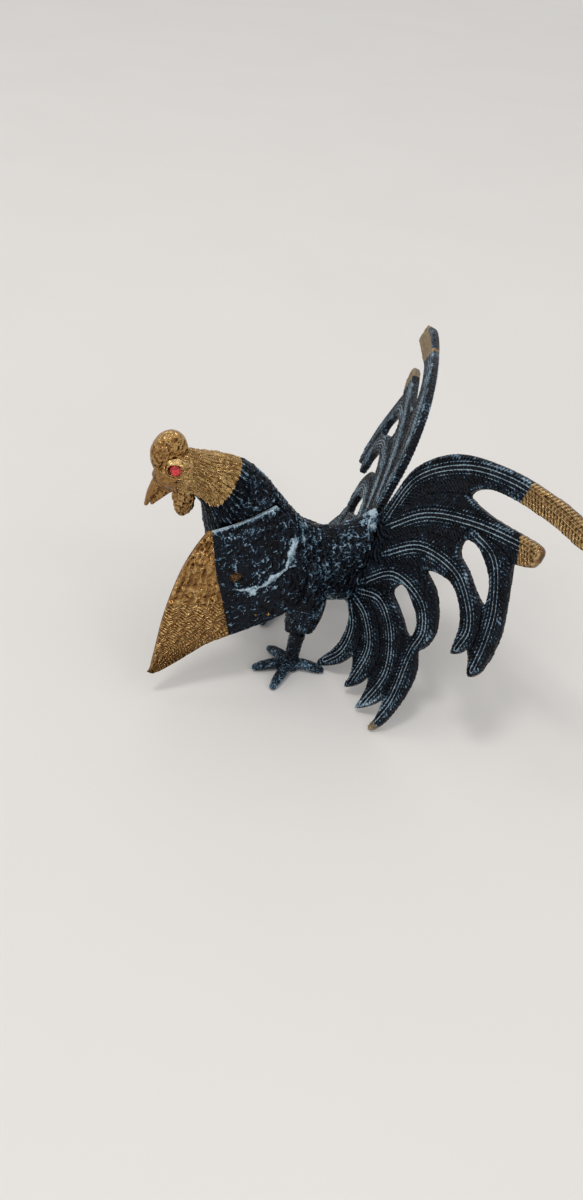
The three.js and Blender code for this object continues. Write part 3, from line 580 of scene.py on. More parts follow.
def left_wing_relief(s, t, face, rim):
    f, u = -face[..., 1], face[..., 2]
    flat = np.stack([f, u], -1)
    wander = layered(flat, 6.0, 11) - 0.5
    jitter = layered(flat, 2.6, 12) - 0.5
    patch = noise(flat, 3.2, 13)
    edge = np.interp(u, [33.3, 48, 62.7, 79.5], [33.1, 35.7, 38.7, 39.8])
    bare = np.clip(0.5 + (f - edge) / 8, 0, 1)
    # curved rows of small broken coverts round the shoulder
    r = np.hypot(f - 25, u - 76) + wander * 4.0 + jitter * 2.0
    turn = np.arctan2(f - 25, 76 - u)
    tip, c = shingles(turn * 23 / 4.4 + wander + jitter * 0.8, r / 3.5)
    curls = veins(flat, 3.0, 14)
    covert = plump(0.5, tip, c, 1.4, 0.4) + 0.45 * curls
    covert += 0.35 * layered(flat, 1.5, 15)
    covert_line = bump(tip - 0.1, 0.16) * (patch > 0.45) + 0.9 * curls * (patch < 0.6)
    # raised lower edge of the coverts
    arc = bump(r - 23.3 + wander * 3.2 + jitter, 1.35) * smoothstep(34, 22, f) * smoothstep(75, 70, u)
    arc *= smoothstep(-6, 2, f)
    # flight feathers below it, running down to the tip
    below = smoothstep(22.5, 25.0, r) * smoothstep(0.24, 0.36, t)
    tip2, c2 = shingles(s * 12 + wander + jitter * 0.5, t * 17 + jitter * 0.6 + s * 2)
    barb = plump(0.45, tip2, c2, 1.4, 0.5) + 0.3 * curls + 0.2 * layered(flat, 1.3, 16)
    # bare tip: hammered at the top, rows of curved ticks, then long fine feather lines
    hammered = 0.75 * layered(flat, 2.3, 21) + 0.5 * veins(flat, 2.6, 22)
    hammered += 0.15 * np.sin(s * 120 + wander * 8)
    tip3, c3 = shingles(s * 15 + wander * 0.5, t * 24 + jitter * 0.5 + s * 3.5)
    ticks = plump(0.62, tip3, c3, 1.3, 0.55) + 0.22 * layered(flat, 1.2, 23)
    lane = 2 * np.mod(s * 9 + 0.3 * wander, 1) - 1
    quills = 0.42 * bump(lane, 0.3) + 0.3 * ticks
    low = smoothstep(0.34, 0.44, t + wander * 0.15)
    tipward = smoothstep(0.66, 0.82, t + wander * 0.2)
    brassy = lerp(lerp(hammered, ticks + 0.14 * bump(lane, 0.25), low), quills + 0.08, tipward)
    dark = lerp(covert, barb, below)
    height = lerp(dark, brassy, smoothstep(0.49, 0.51, bare))
    height += 0.85 * arc
    shoulder = bump(t, 0.022) + 0.3 * bump(t - 0.08, 0.02)
    height += 0.55 * bump(t - 0.014, 0.022) * smoothstep(0.55, 0.45, bare)
    ridge = np.clip(height / 0.95, 0, 1)
    blue = 0.34 * covert_line * (1 - below) + 0.85 * arc * (0.6 + patch) + 0.62 * shoulder
    blue += below * (0.38 * curls + 0.22 * bump(tip2 - 0.1, 0.15)) + 0.2 * bump(rim, 0.8) - 0.10
    worn = bump(np.hypot(f - 31.0, u - 59.5) + jitter * 3, 1.6)
    worn += bump(np.hypot(f - 20.5, u - 40.2), 0.9) + bump(np.hypot(f - 14.5, u - 39.8), 1.1)
    bare = np.maximum(bare, 0.62 * (worn > 0.5))
    ridge = np.maximum(ridge, smoothstep(0.4, 0.6, worn))
    phase = np.where((bare > 0.5) & (t > 0.4), t * 70 + np.abs(lane) * 1.6, 0)
    return height, {"bare": bare, "ridge": ridge, "blue": blue, "phase": phase}


def right_wing_relief(s, t, face, rim):
    f, u = -face[..., 1], face[..., 2]
    flat = np.stack([f, u], -1)
    wander = layered(flat, 6.0, 31) - 0.5
    jitter = layered(flat, 2.6, 32) - 0.5
    curls = veins(flat, 3.0, 33)
    tip, c = shingles(s * 7 + wander + jitter * 0.5, t * 11 + wander + jitter * 0.5)
    covert = plump(0.5, tip, c, 1.4, 0.4) + 0.4 * curls + 0.3 * layered(flat, 1.5, 35)
    tip2, c2 = shingles(s * 11 + wander * 0.6, t * 24 + jitter * 0.5 + s * 3)
    flight = plump(0.55, tip2, c2, 1.3, 0.55) + 0.2 * layered(flat, 1.2, 36)
    low = smoothstep(0.45, 0.55, t)
    arc = bump(t - 0.46 + wander * 0.05, 0.03)
    height = lerp(covert, flight, low) + 0.7 * arc
    blue = 0.3 * bump(tip - 0.1, 0.16) * (1 - low) + 0.55 * arc + 0.3 * curls
    blue += 0.2 * bump(rim, 0.8) - 0.10
    bare = np.clip(0.5 + np.minimum(-12 - f, 59 - u) / 8, 0, 1)
    return height, {"bare": bare, "ridge": np.clip(height / 0.95, 0, 1), "blue": blue,
                    "phase": np.where(bare > 0.5, t * 58 + np.abs(c2) * 1.2, 0)}


# ------------------------------------------------------------------ tail
AZIMUTH, LEAN = math.radians(72.2), math.radians(20.5)
TAIL_ROOT = at(-40, 4, 66)
ACROSS = np.array([math.sin(AZIMUTH), math.cos(AZIMUTH), 0])
NORMAL = np.array([math.cos(AZIMUTH) * math.cos(LEAN), -math.sin(AZIMUTH) * math.cos(LEAN),
                   math.sin(LEAN)])
# Outline of a plate, each stretch a smooth curve, sharp where stretches meet.
RISE = -np.cross(ACROSS, NORMAL)
TAIL_EDGES = [
    [[-2.5, 5], [1, 17], [7, 38], [26, 55], [55, 63], [82, 65], [98, 64], [113, 59.5]],
    [[113, 59.5], [104, 54.5], [92, 55], [79, 55], [65, 54], [52, 51.5], [44, 47], [42, 43]],
    [[42, 43], [53, 42], [66, 43], [77, 44.5], [86, 45.3], [89.2, 42.8], [88.4, 37], [85, 34.5], [78.5, 32]],
    [[78.5, 32], [85, 18], [90, 6], [91.5, -4], [91, -14], [88.5, -19], [86, -19], [83, -14], [79.5, -10]],
    [[79.5, -10], [77, -15], [73.5, -17.5], [72, -12], [70, -4], [64, 3], [56, 7], [46, 6], [39, 3]],
    [[39, 3], [49, -1], [56, -8], [60, -16], [59.5, -24], [56, -30]],
    [[56, -30], [60.5, -37], [62, -46], [61, -58], [58.5, -70], [54.5, -78], [52, -77.5], [53.5, -70],
     [52, -60]],
    [[52, -60], [48, -68], [40, -77], [40.5, -69], [40, -63], [38, -58]],
    [[38, -58], [34, -67], [28, -73.5], [27.5, -66], [26, -61], [23, -57]],
    [[23, -57], [17, -68], [7, -77], [5, -74.5], [10, -64], [12, -54], [10, -44], [5, -38.5]],
    [[5, -38.5], [-1, -38.5], [-5.5, -37]],
    [[-5.5, -37], [-4.5, -20], [-3.5, -5], [-2.5, 5]],
]
TAIL_HOLES = [
    [[51, 26.5], [51.5, 20], [60, 16.5], [69, 11.5], [76, 9.5], [76, 14], [73, 19.5], [67, 24.5], [59, 28]],
    [[28.5, -12], [27, -17], [33, -20], [40, -23.5], [46, -27], [50, -25.5], [48.5, -18], [40, -12.5],
     [33, -10]],
]
TAIL_RIBS = [
    [[4, 8], [11, 34], [33, 52], [59, 60], [84, 61], [108, 58.5]],
    [[7, 6], [26, 24], [52, 35], [78, 41], [86, 41.5]],
    [[53, 32], [70, 29], [81.5, 14], [86.3, -1], [88, -16]],
    [[13, -5], [31, 10], [54, 13], [68, 6.5], [76, -3], [75.5, -14]],
    [[8, -24], [24, -9], [45, -9], [55, -19], [54.5, -33], [57, -56], [54, -74]],
    [[8, -29], [24, -24], [39, -33], [47, -50], [43, -72]],
    [[7, -33], [20, -36], [31, -48], [30, -70]],
    [[5, -36], [15, -46], [16, -60], [9, -72]],
]
TAIL_THICKNESS = 3.0


def to_run(points, run):
    """Distance from points to a run of points, side of it, and length along it."""
    best = np.full(len(points), np.inf)
    side = np.zeros(len(points))
    along = np.zeros(len(points))
    lengths = np.concatenate([[0], np.cumsum(np.linalg.norm(np.diff(run, axis=0), axis=1))])
    for i in range(len(run) - 1):
        d = run[i + 1] - run[i]
        size = np.linalg.norm(d)
        q = points - run[i]
        t = np.clip(q @ d / size ** 2, 0, 1)
        off = q - t[:, None] * d
        gap = np.linalg.norm(off, axis=1)
        closer = gap < best
        best = np.where(closer, gap, best)
        side = np.where(closer, np.sign(d[0] * q[:, 1] - d[1] * q[:, 0]), side)
        along = np.where(closer, lengths[i] + t * size, along)
    return best, side, along


def tail_point(u, v, depth):
    return TAIL_ROOT + u[:, None] * ACROSS + v[:, None] * RISE + depth[:, None] * NORMAL


def tail_sheet():
    """The plate before it is bent, as one skin in its own flat frame."""
    outline = np.concatenate([curve_through(edge, per_span=5)[:-1] for edge in TAIL_EDGES])
    holes = [curve_through(hole, True, 5) for hole in TAIL_HOLES]
    shape = bpy.data.curves.new("plate_outline", "CURVE")
    shape.dimensions = "2D"
    shape.fill_mode = "BOTH"
    shape.extrude = TAIL_THICKNESS / 2
    for loop in [outline, *holes]:
        spline = shape.splines.new("POLY")
        spline.points.add(len(loop) - 1)
        flat = np.concatenate([loop, np.zeros((len(loop), 1)), np.ones((len(loop), 1))], 1)
        spline.points.foreach_set("co", flat.astype(np.float32).ravel())
        spline.use_cyclic_u = True
    mesh = evaluated_mesh(linked("plate_outline", shape))
    bm = bmesh.new()
    bm.from_mesh(mesh)
    bmesh.ops.remove_doubles(bm, verts=bm.verts, dist=1e-4)
    bmesh.ops.recalc_face_normals(bm, faces=bm.faces)
    bmesh.ops.translate(bm, verts=bm.verts, vec=(0, 0, -TAIL_THICKNESS / 2))
    bm.to_mesh(mesh)
    bm.free()
    seam = Vector((ACROSS[0], RISE[0], NORMAL[0]))
    on_seam = Vector(((0.15 - TAIL_ROOT[0]) / ACROSS[0], 0, 0))
    cut_mesh(mesh, on_seam, seam)
    return remeshed(mesh, *TAIL_SKIN), outline, holes


def tail_pieces(material):
    mesh, outline, holes = tail_sheet()
    p, normal = surface_of(mesh)
    uv = p[:, :2]
    rim = to_run(uv, np.concatenate([outline, outline[:1]]))[0]
    for hole in holes:
        rim = np.minimum(rim, to_run(uv, np.concatenate([hole, hole[:1]]))[0])
    gaps, sides, alongs, totals = [], [], [], []
    for rib in TAIL_RIBS:
        run = curve_through(rib, per_span=6)
        d, side, along = to_run(uv, run)
        gaps.append(d)
        sides.append(side)
        alongs.append(along)
        totals.append(np.linalg.norm(np.diff(run, axis=0), axis=1).sum())
    gaps = np.array(gaps)
    order = np.argsort(gaps, axis=0)
    rib = order[0]
    every = np.arange(len(p))
    d1, d2 = gaps[rib, every], gaps[order[1], every]
    side = np.array(sides)[rib, every]
    along = np.array(alongs)[rib, every]
    total = np.array(totals)[rib]
    wander = layered(uv, 5.0, 41) - 0.5
    speckle = layered(uv, 1.5, 43)
    # each feather: a double midrib, slanted barbs and a raised rim; a groove where feathers meet
    beyond = smoothstep(11, 15, d1)
    midrib = 0.50 * (bump(d1 - 0.95, 0.42) + 0.7 * bump(d1 - 2.65, 0.5) * smoothstep(6, 16, along))
    midrib += 0.3 * bump(d1 - 4.35, 0.5) * smoothstep(10, 24, along) * smoothstep(1.5, 2.5, rim)
    slant = along - 0.75 * d1
    barb = 0.17 * np.sin(2 * math.pi * (slant / 1.9 + wander * 0.4))
    barb = barb * smoothstep(1.3, 2.2, d1) * (1 - beyond)
    meet = np.where(d2 < 30, bump(d2 - d1, 1.0), 0)
    edge = 0.45 * bump(rim - 0.9, 0.8)
    rough = 0.45 * (speckle - 0.5) * (0.25 + beyond)
    height = midrib + barb + edge + rough - 0.28 * meet + 0.08
    calm = smoothstep(0.2, 1.3, rim)
    face = np.abs(normal[:, 2])
    push = height * calm * smoothstep(0.35, 0.9, face)
    p[:, 2] += np.sign(normal[:, 2]) * push
    sheer = 1 - smoothstep(0.35, 0.9, face)
    ridge = np.clip(0.2 + height / 0.75, 0, 1) * (1 - sheer) + 0.35 * sheer
    broken = noise(uv, 5.0, 44)
    blue = 0.30 * bump(d1 - 0.95, 0.45) + 0.12 * bump(d1 - 2.65, 0.4) * smoothstep(0.3, 0.55, broken)
    blue += 0.30 * bump(rim - 0.6, 0.8) * smoothstep(0.45, 0.65, broken) + 0.55 * wander
    blue += 0.30 * beyond * (speckle - 0.35) - 0.10
    quill = np.where(rim > 1.1, d1, -1.0) * smoothstep(1, 5, along)
    phase = (slant / 1.9) * (1 - beyond)
    long_tip = np.where(rib == 0, uv[:, 0] - (68 + (uv[:, 1] - 54) * 0.1), -9)
    second_tip = np.where(rib == 1, ((uv[:, 0] - 77) * 8 + (uv[:, 1] - 42) * 4) / 8.94, -9)
    low_tip = np.where(rib == 4, along - total + 0.5, -9)
    chips = np.where((rib == 2) & (rim < 1.1) & (wander > 0.02), along - total + 9, -9)
    near_bare = np.max([long_tip, second_tip, low_tip, chips], axis=0)
    far_half = np.minimum(uv[:, 0] - 72, 3 - side * d1 * 2)
    far_long = np.where(rib == 0, np.maximum(uv[:, 0] - 104, far_half), -9)
    far_second = np.where(rib == 1, along - total + 7, -9)
    far_chip = np.where((rib == 0) & (rim < 2.4) & (side > 0), 1.5 - np.abs(uv[:, 0] - 70.5), -9)
    far_bare = np.max([far_long, far_second, far_chip], axis=0)
    dull_far = smoothstep(71.5, 73, uv[:, 0])
    dull_near = np.where(rib == 4, 0.8, 0.18)
    # the low feathers are swept forward below the bend
    u, v, depth = uv[:, 0].copy(), uv[:, 1].copy(), p[:, 2].copy()
    below = np.minimum(v + 40, 0)
    sweep = -7.8 * below / 38
    u, v, depth = u + 0.8 * sweep, v + 0.8 * sweep, depth + sweep
    placed = tail_point(u, v, depth)
    placed[:, 2] = np.maximum(placed[:, 2], 0)
    placed[:, 0] = np.maximum(placed[:, 0], 0.15)
    # on the far plate the low edge of the longest feather curls forward towards its tip
    curl = 0.5 * np.clip(60.5 - v, 0, 8) * smoothstep(66, 90, u) * smoothstep(115, 98, u) * (v > 50)
    curled = tail_point(u, v, depth + curl) * np.array([-1, 1, 1])
    other = mesh.copy()
    other.flip_normals()
    shared = {"ridge": ridge, "blue": blue, "phase": phase, "quill": quill * (1 - sheer) - sheer}
    finish_piece("tail_plate_left_cast", mesh, placed,
                 {**shared, "bare": np.clip(0.5 + near_bare / 8, 0, 1), "dull": dull_near},
                 material, ["tail_plate_left"])
    far_placed = np.where((curl > 0)[:, None], curled, placed * np.array([-1, 1, 1]))
    finish_piece("tail_plate_right_cast", other, far_placed,
                 {**shared, "blue": blue + 0.1, "bare": np.clip(0.5 + far_bare / 8, 0, 1),
                  "dull": 0.75 * dull_far}, material, ["tail_plate_right"])


# ------------------------------------------------------------------ body and head
# Line round the neck, forward and up, where the brass has been left bare.
NECK_EDGE = [[22, 114], [23.3, 107.1], [25.6, 104], [31, 96.8], [36, 91.4], [39.6, 90.2],
             [42.6, 92], [47, 92.6]]


def body_piece(material):
    trunk = mesh_of("trunk", *tube(skin_rings(0, 12.4, 0.1, 120)))
    cut_mesh(trunk, Vector(TAIL_ROOT + NORMAL * 0.3), Vector(NORMAL))
    cut_mesh(trunk, Vector((-0.3, 0, 0)), Vector((1, 0, 0)))
    thigh_rings = bar_rings([at(-5, 12, 48), at(-6, 17.5, 34), KNEE], [11.5, 9.5, 6.2])
    thigh = mesh_of("thigh", *tube(thigh_rings))
    cut_mesh(thigh, Vector(KNEE), Vector(STUD_AXIS))
    bm = bmesh.new()
    for part in (trunk, thigh):
        bm.from_mesh(part)
    copy = bmesh.ops.duplicate(bm, geom=bm.verts[:] + bm.edges[:] + bm.faces[:])
    twin = [g for g in copy["geom"] if isinstance(g, bmesh.types.BMVert)]
    for vert in twin:
        vert.co.x = -vert.co.x
    bmesh.ops.recalc_face_normals(bm, faces=bm.faces)
    both = bpy.data.meshes.new("body")
    bm.to_mesh(both)
    bm.free()
    mesh = remeshed(both, *BODY_SKIN)
    p, normal = surface_of(mesh)
    side = np.where(p[:, 0] < 0, -1.0, 1.0)
    mirror = p.copy()
    mirror[:, 0] = np.abs(mirror[:, 0])
    # which piece of skin a point belongs to, and where on it
    x, angle = np.meshgrid(np.arange(0, 12.41, 0.04), np.linspace(0, math.pi, 150), indexing="ij")
    skin = skin_point(x, angle).reshape(-1, 3)
    legs = thigh_rings[:, ::2].reshape(-1, 3)
    leg_along = np.repeat(np.arange(len(thigh_rings)), thigh_rings[:, ::2].shape[1])
    leg_round = np.tile(np.arange(thigh_rings[:, ::2].shape[1]), len(thigh_rings))
    found = nearest_sample(np.concatenate([skin, legs]), mirror)
    on_leg = (found >= len(skin)).astype(float)
    f_skin = np.minimum(found, len(skin) - 1)
    f_leg = np.clip(found - len(skin), 0, len(legs) - 1)
    station = x.ravel()[f_skin]
    turn = angle.ravel()[f_skin]
    leg_soft = neighbours_mean(mesh, on_leg, 6)
    station = neighbours_mean(mesh, station, 1)
    # hackle: long narrow feathers running back down the neck
    wander = layered(p, 7.0, 51) - 0.5
    jitter = layered(p, 2.6, 52) - 0.5
    curls = veins(p, 3.0, 53)
    patch = noise(p, 4.0, 54)
    count = 23
    c, seg, pick = strands(turn / math.pi * count + wander * 1.6 + jitter * 0.7,
                           (12.4 - station) * 1.9 + wander * 1.5, 3)
    hackle = 0.55 * (1 - c * c) + 0.45 * seg * (1 - 0.5 * c * c) + 0.3 * layered(p, 1.2, 55)
    hackle *= 0.6 + 0.5 * pick
    # breast, back and flank: small rounded feathers, half lost in the casting
    girth = np.interp(station, [0, 3, 6, 8], [9, 11, 15, 15])
    c2, seg2, pick2 = strands(turn / math.pi * girth * 1.15 + wander * 2.2 + jitter,
                              (12 - station) * 2.6 + wander * 2.5, 4)
    scale = 0.3 * (1 - c2 * c2) + 0.3 * seg2 + 0.45 * curls + 0.32 * layered(p, 1.6, 61)
    # thigh: rough barbs pointing down
    a_leg = leg_round[f_leg] / 20 * 11
    c3, seg3, _ = strands(a_leg + wander * 2 + jitter, leg_along[f_leg] * 0.30 + wander, 6)
    barbs = 0.4 * (1 - c3 * c3) + 0.25 * seg3 + 0.3 * curls + 0.3 * layered(p, 1.3, 62)
    on_neck = smoothstep(7.2, 8.4, station + wander * 1.2)
    height = lerp(scale, hackle, on_neck)
    height = lerp(height, barbs, leg_soft)
    line = lerp(0.75 * curls + 0.35 * bump(c2 - 0.2, 0.25) * (pick2 > 0.5),
                1.3 * bump(c - 0.3, 0.22) * (pick > 0.3) * smoothstep(0.1, 0.35, seg), on_neck)
    line = lerp(line, 0.45 * bump(c3, 0.25) + 0.35 * curls, leg_soft)
    # cast seam down the breast
    f, u = -p[:, 1], p[:, 2]
    seam = bump(p[:, 0], 0.7) * smoothstep(20, 30, f) * smoothstep(86, 80, u) * (turn > 1.6)
    height += 0.35 * seam
    # thick collar where the rump meets the tail plates
    depth = np.abs(p[:, 0]) * NORMAL[0] + p[:, 1] * NORMAL[1] + p[:, 2] * NORMAL[2]
    depth = depth - TAIL_ROOT.dot(NORMAL)
    collar = bump(depth - 1.9, 1.5) * smoothstep(66, 76, u)
    height += 0.7 * collar * smoothstep(0.35, 0.9, depth)
    calm = smoothstep(0.32, 0.9, depth)
    moved = p + normal * ((height - 0.25) * calm)[:, None]
    left_in, hit_left = under_wing(LEFT_WING, moved, 1)
    both_in, hit_right = under_wing(RIGHT_WING, left_in, -1)
    hidden = hit_left | hit_right
    gap, flank, _ = to_run(np.stack([f, u], -1), np.array(NECK_EDGE))
    edge = gap * flank + 0.5 * (1 - c * c) * smoothstep(107, 98, u)
    bare = np.clip(0.5 + edge / 8, 0, 1) * smoothstep(6.5, 7.5, station)
    spot = np.hypot(f - 27.2, u - 82.3) + 30 * (side < 0)
    bare = np.where((spot < 1.3) & (wander > -0.2), 0.62, bare)
    rear = smoothstep(-22, -36, f) * smoothstep(58, 72, u)
    flank_patch = 0.18 * (patch > 0.62) + 0.5 * (wander + jitter * 0.6)
    blue = 0.42 * line + 0.5 * seam + 0.6 * collar * (0.4 + patch) + 0.26 * rear * (0.4 + patch) - 0.12
    blue += flank_patch * (1 - on_neck * 0.7)
    ridge = np.clip(0.12 + height / 0.85, 0, 1)
    ridge[hidden] = 0.1
    blue[hidden] = -0.3
    phase = np.where(leg_soft > 0.5, 0, turn / math.pi * count * 3 * on_neck)
    finish_piece("body_cast", mesh, both_in,
                 {"bare": bare, "ridge": ridge, "blue": blue, "phase": phase},
                 material, ["body_half_left", "body_half_right"])


EYE_AT = at(54.6, 7.2, 105.8)
EYE_AXIS = unit(np.array([0.94, -0.2, 0.22]))


def round_axis(axis):
    """Level and upright directions square to an axis."""
    side = unit(np.cross([0, 0, 1.0], axis))
    return side, np.cross(axis, side)


def comb_rings():
    rows = [[62.2, 101.5, 1.8], [64.2, 107.5, 3.6], [63.8, 113.4, 4.0], [60.2, 119, 4.0], [55, 121, 3.9],
            [50.4, 118.4, 3.6], [48.4, 112.8, 3.2], [49.2, 107.5, 2.2]]
    r = rows_at(rows, np.arange(0, 7.001, 0.1))
    angle = np.linspace(0, 2 * math.pi, 40, endpoint=False)[None, :]
    t = 0.5 - 0.5 * np.cos(angle)
    f, u, w = (r[:, i][:, None] for i in range(3))
    side = np.sign(np.sin(angle)) * np.abs(np.sin(angle)) ** 0.7
    return at(lerp(f, 55, t * 0.98), w * 1.08 * side, lerp(u, 107, t * 0.98))


def head_piece(material):
    parts = [tube(skin_rings(11.2, 15, 0.05, 120)), tube(comb_rings())]
    upper = bar_rings([at(58.4, 0, 99.8), at(61.6, 0, 95.8), at(64.6, 0, 90.8), at(67.0, 0, 85.4)],
                      [3.9, 2.9, 1.9, 0.8])
    lower = bar_rings([at(55.0, 0, 96.0), at(58.8, 0, 92.2), at(61.9, 0, 88.7), at(64.4, 0, 85.7)],
                      [3.5, 2.4, 1.5, 0.7])
    parts += [tube(upper), tube(lower)]
    wattles = []
    for sign in (1, -1):
        wattles.append(lump_rings(at(50.2, 3.4 * sign, 88.4), at(4.5, 0, 0.8), at(0, 2.0 * sign, 0),
                                  at(1.2, -0.4 * sign, -8.0)))
        parts.append(tube(wattles[-1]))
        centre = EYE_AT * np.array([sign, 1, 1])
        axis = EYE_AXIS * np.array([sign, 1, 1])
        side, up = round_axis(axis)
        parts.append(tube(lump_rings(centre - axis * 1.9, side * 4.4, up * 3.8, axis * 2.2)))
    mesh = mesh_of("head", *joined(parts))
    mesh = remeshed(mesh, *HEAD_SKIN)
    p, normal = surface_of(mesh)
    f, u = -p[:, 1], p[:, 2]
    labels = [skin_rings(11.2, 15, 0.1, 80).reshape(-1, 3), comb_rings().reshape(-1, 3),
              upper.reshape(-1, 3), lower.reshape(-1, 3),
              np.concatenate(wattles).reshape(-1, 3)]
    owner = np.repeat(np.arange(5), [len(q) for q in labels])
    kind = owner[nearest_sample(np.concatenate(labels), p)]
    share = [neighbours_mean(mesh, (kind == k).astype(float), 6) for k in range(5)]
    wander = layered(p, 4.0, 71) - 0.5
    pebbles = 0.4 * layered(p, 1.5, 72) + 0.6 * smoothstep(0.28, 0.6, noise(p, 0.85, 77))
    # comb: smooth raised rim, pebbled inside it
    comb_in = np.hypot(f - 55, (u - 106.5))
    comb_out = np.interp(np.arctan2(u - 106.5, f - 55), np.radians([-30, 5, 38, 68, 93, 118, 143, 180]),
                         [8.0, 9.3, 11.2, 13.6, 14.3, 12.0, 8.8, 6.6])
    from_rim = comb_out - comb_in
    pebbled = smoothstep(0.7, 1.9, from_rim + 1.2 * smoothstep(60, 63, f))
    comb_height = 0.62 * pebbles * pebbled + 0.5 * (1 - pebbled)
    beak_height = 0.25 + 0.12 * layered(p, 2.0, 73)
    wattle_height = 0.7 * pebbles
    # face: brow over the eye, lids round it, fine plumage behind
    q = p.copy()
    q[:, 0] = np.abs(q[:, 0])
    rel = q - EYE_AT
    side, up = round_axis(EYE_AXIS)
    out = rel @ EYE_AXIS
    e1, e2 = rel @ side, rel @ up
    ring = np.hypot(e1 * 0.82, e2 * 1.15)
    near = smoothstep(-5, -2.5, out)
    lid = 0.6 * bump(ring - 3.0, 0.5) * near
    lid2 = 0.3 * bump(ring - 4.4, 0.5) * near * smoothstep(1.5, -1.0, e2)
    brow = 1.25 * bump(e2 - 3.9 + 0.045 * e1 * e1, 1.0) * near * smoothstep(7.5, 5, np.abs(e1))
    socket = -1.5 * smoothstep(2.75, 2.25, ring) * near
    c, seg, _ = strands(q[:, 0] * 0.3 + u * 0.6 + wander * 2, (60 - f) * 0.5 + wander * 2, 8)
    plume = 0.3 * (1 - c * c) + 0.25 * seg + 0.2 * layered(p, 1.2, 74)
    face_height = lerp(0.5 * layered(p, 1.5, 75), plume * 1.3, smoothstep(54, 50, f))
    face_height = face_height * smoothstep(2.5, 4.5, ring)
    face_height += lid + lid2 + brow + socket
    height = (share[0] * face_height + share[1] * comb_height + share[2] * beak_height
              + share[3] * beak_height + share[4] * wattle_height)
    moved = p + normal * (height - 0.15)[:, None]
    ridge = np.clip(0.15 + height / 0.9, 0, 1)
    ridge = ridge * (1 - 0.75 * smoothstep(2.9, 2.5, ring) * near)
    finish_piece("head_cast", mesh, moved,
                 {"bare": 1.0, "ridge": ridge}, material, [])


# ------------------------------------------------------------------ legs
def leg_pieces(material):
    foot = at(0, 23, 0)
    top = KNEE - STUD_AXIS * 0.3
    ankle = foot + np.array([0, 0, 4])
    parts = [tube(bar_rings([top - STUD_AXIS * 1.2, lerp(top, ankle, 0.3), lerp(top, ankle, 0.7), ankle],
                            [3.9, 3.7, 3.45, 3.5]))]
    parts.append(tube(lump_rings(foot + np.array([0, 0, 2.8]), np.array([5.2, 0, 0]),
                                 np.array([0, 5.2, 0]), np.array([0, 0, 4.3]))))
    for turn, length in ((0, 19.5), (-58, 16.7), (51, 20.2), (156, 17)):
        a = math.radians(turn)
        way = np.array([math.sin(a), -math.cos(a), 0])
        line = []
        for t in (0, 0.45, 0.8, 1):
            q = foot + way * t * (length - 1.6)
            q[2] = lerp(3, 1.75, t) + math.sin(t * math.pi) * 0.9
            line.append(q)
        parts.append(tube(bar_rings(line, [2.85, 2.7, 2.4, 1.75], 28)))
    mesh = remeshed(mesh_of("leg", *joined(parts)), *LEG_SKIN)
    p, normal = surface_of(mesh)
    rough = layered(p, 1.6, 81)
    scutes = np.sin(p[:, 2] * 2.4 + 2 * (layered(p, 3, 82) - 0.5)) * smoothstep(6, 9, p[:, 2])
    height = 0.30 * rough + 0.08 * scutes
    moved = p + normal * (height - 0.12)[:, None]
    moved[:, 2] = np.maximum(moved[:, 2], 0)
    ridge = np.clip(0.1 + height * 1.6, 0, 1)
    blue = 0.17 + 0.22 * smoothstep(9, 2, p[:, 2]) + 0.4 * (layered(p, 4, 83) - 0.5)
    traits = {"ridge": ridge, "blue": blue}
    other = mesh.copy()
    other.flip_normals()
    finish_piece("leg_left_cast", mesh, moved, traits, material, ["leg_left"])
    finish_piece("leg_right_cast", other, moved * np.array([-1, 1, 1]), traits, material, ["leg_right"])


# ------------------------------------------------------------------ eyes
def red_glass():
    s = Surface("red_glass")
    # patches of dark and bright red across the stone are painted shade and painted light, standing in for
    # facets that catch the light unevenly
    colour = s.mix(s.ramp(s.noise(1.3, 1.0), 0.42, 0.6), (0.28, 0.0, 0.003), (0.82, 0.035, 0.045))
    s.links.new(colour, s.shader.inputs["Base Color"])
    s.shader.inputs["Roughness"].default_value = 0.08
    s.shader.inputs["IOR"].default_value = 1.55
    s.shader.inputs["Transmission Weight"].default_value = 0.15
    s.shader.inputs["Coat Weight"].default_value = 0.2
    return s.material


def eye_pieces(material):
    """Cut stone with a flat table and two rows of facets."""
    side, up = round_axis(EYE_AXIS)
    base = EYE_AT - EYE_AXIS * 1.3
    # radius, height and turn of each ring of corners
    levels = [(2.55, 0.0, 0), (2.55, 1.1, 0), (2.05, 1.85, 0.5), (1.2, 2.35, 0)]
    points = []
    for radius, high, shift in levels:
        for k in range(10):
            a = (k + shift) / 10 * 2 * math.pi
            points.append(base + EYE_AXIS * high + radius * (math.cos(a) * side + math.sin(a) * up))
    faces = [list(range(10))[::-1], list(range(30, 40))]
    for k in range(10):
        n = (k + 1) % 10
        faces.append([k, n, 10 + n, 10 + k])
        faces += [[10 + k, 10 + n, 20 + k], [10 + n, 20 + n, 20 + k]]
        faces += [[20 + k, 20 + n, 30 + n], [20 + k, 30 + n, 30 + k]]
    points = np.array(points)
    for name, sign in (("left", 1), ("right", -1)):
        flipped = [f[::-1] for f in faces] if sign < 0 else faces
        mesh = mesh_of(f"eye_{name}_stone", points, flipped)
        finish_piece(f"eye_{name}_stone", mesh, points * np.array([sign, 1, 1]), {}, material,
                     [f"eye_{name}"], smooth=False)


# ------------------------------------------------------------------ stage, light, camera
def stage():
    mesh = mesh_of("floor", [(-20, -20, 0), (20, -20, 0), (20, 20, 0), (-20, 20, 0)], [(0, 1, 2, 3)])
    s = Surface("pale_floor")
    colour = s.mix(s.noise(180.0, 3.0), (0.715, 0.70, 0.685), (0.76, 0.745, 0.73))
    s.links.new(colour, s.shader.inputs["Base Color"])
    s.shader.inputs["Roughness"].default_value = 0.5
    mesh.materials.append(s.material)
    linked("floor", mesh)


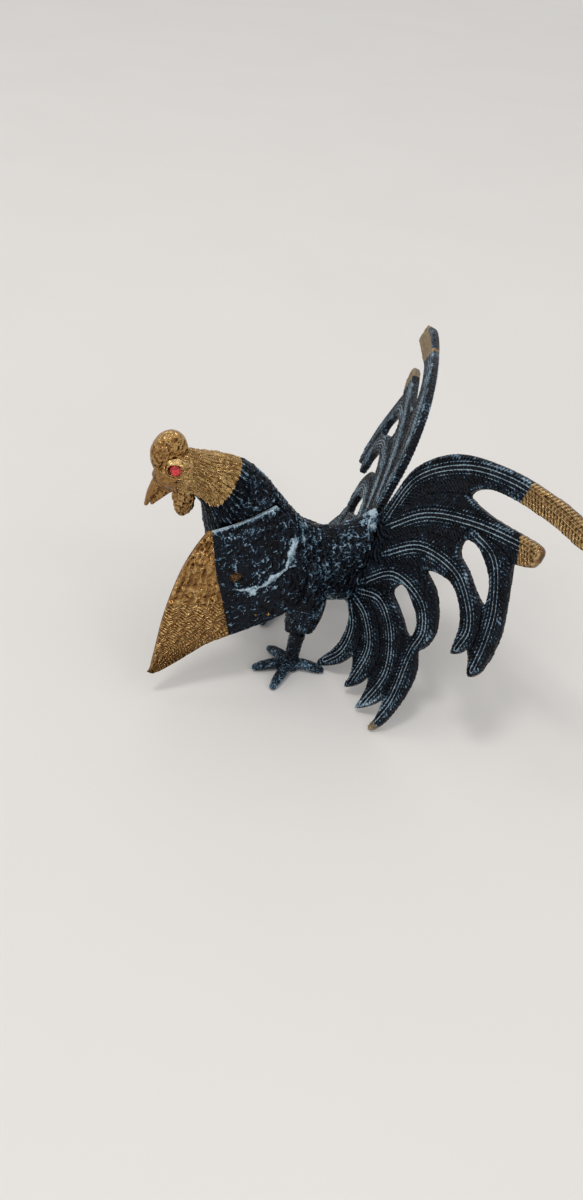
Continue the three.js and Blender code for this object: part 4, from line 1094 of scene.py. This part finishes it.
def area(name, place, target, size, power, colour):
    light = bpy.data.lights.new(name, "AREA")
    light.shape = "DISK"
    light.size = size
    light.energy = power
    light.color = colour
    holder = linked(name, light)
    holder.location = place
    way = Vector(target) - Vector(place)
    holder.rotation_euler = way.to_track_quat("-Z", "Y").to_euler()


def lights_and_camera():
    scene = bpy.context.scene
    world = bpy.data.worlds.new("soft_room")
    world.use_nodes = True
    world.node_tree.nodes["Background"].inputs[0].default_value = (1.0, 0.985, 0.965, 1)
    world.node_tree.nodes["Background"].inputs[1].default_value = 0.80
    scene.world = world
    area("lamp", (0.35, -0.45, 1.9), (0, 0, 0.05), 0.4, 7.5, (1.0, 0.98, 0.95))
    area("far_lamp", (-0.9, -1.3, 2.1), (0, 0, 0.05), 0.7, 3.4, (1.0, 0.98, 0.95))
    area("side_lamp", (1.3, 0.9, 1.5), (0, 0, 0.05), 0.5, 2, (0.97, 0.98, 1.0))
    camera = bpy.data.cameras.new("camera")
    camera.lens = 28.57
    camera.sensor_width = 36
    camera.clip_start = 0.01
    holder = linked("camera", camera)
    right = Vector((0.20451, 0.97632, 0.07051))
    up = Vector((-0.62054, 0.07361, 0.78074))
    back = Vector((0.75705, -0.20340, 0.62089))
    turn = Matrix((right, up, back)).transposed()
    holder.matrix_world = Matrix.Translation((0.3608, -0.1061, 0.3197)) @ turn.to_4x4()
    scene.camera = holder
    scene.view_settings.view_transform = "Standard"


# ------------------------------------------------------------------ build
metal = cast_metal("patinated_brass")
fixing_metal = cast_metal("worn_fixing_brass", bare_default=0.85, verdigris=0.8)
stone = red_glass()
stage()
lights_and_camera()
body_piece(metal)
head_piece(metal)
wing_piece("wing_left_cast", LEFT_WING, 1, left_wing_relief, ["wing_left"], metal, (30, 60.5, 24.45))
wing_piece("wing_right_cast", RIGHT_WING, -1, right_wing_relief, ["wing_right"], metal, (15, 63, 22.85))
tail_pieces(metal)
leg_pieces(metal)
eye_pieces(stone)
for node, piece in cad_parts.items():
    if "screw" in node or "nut" in node:
        piece.data.materials.clear()
        piece.data.materials.append(fixing_metal)
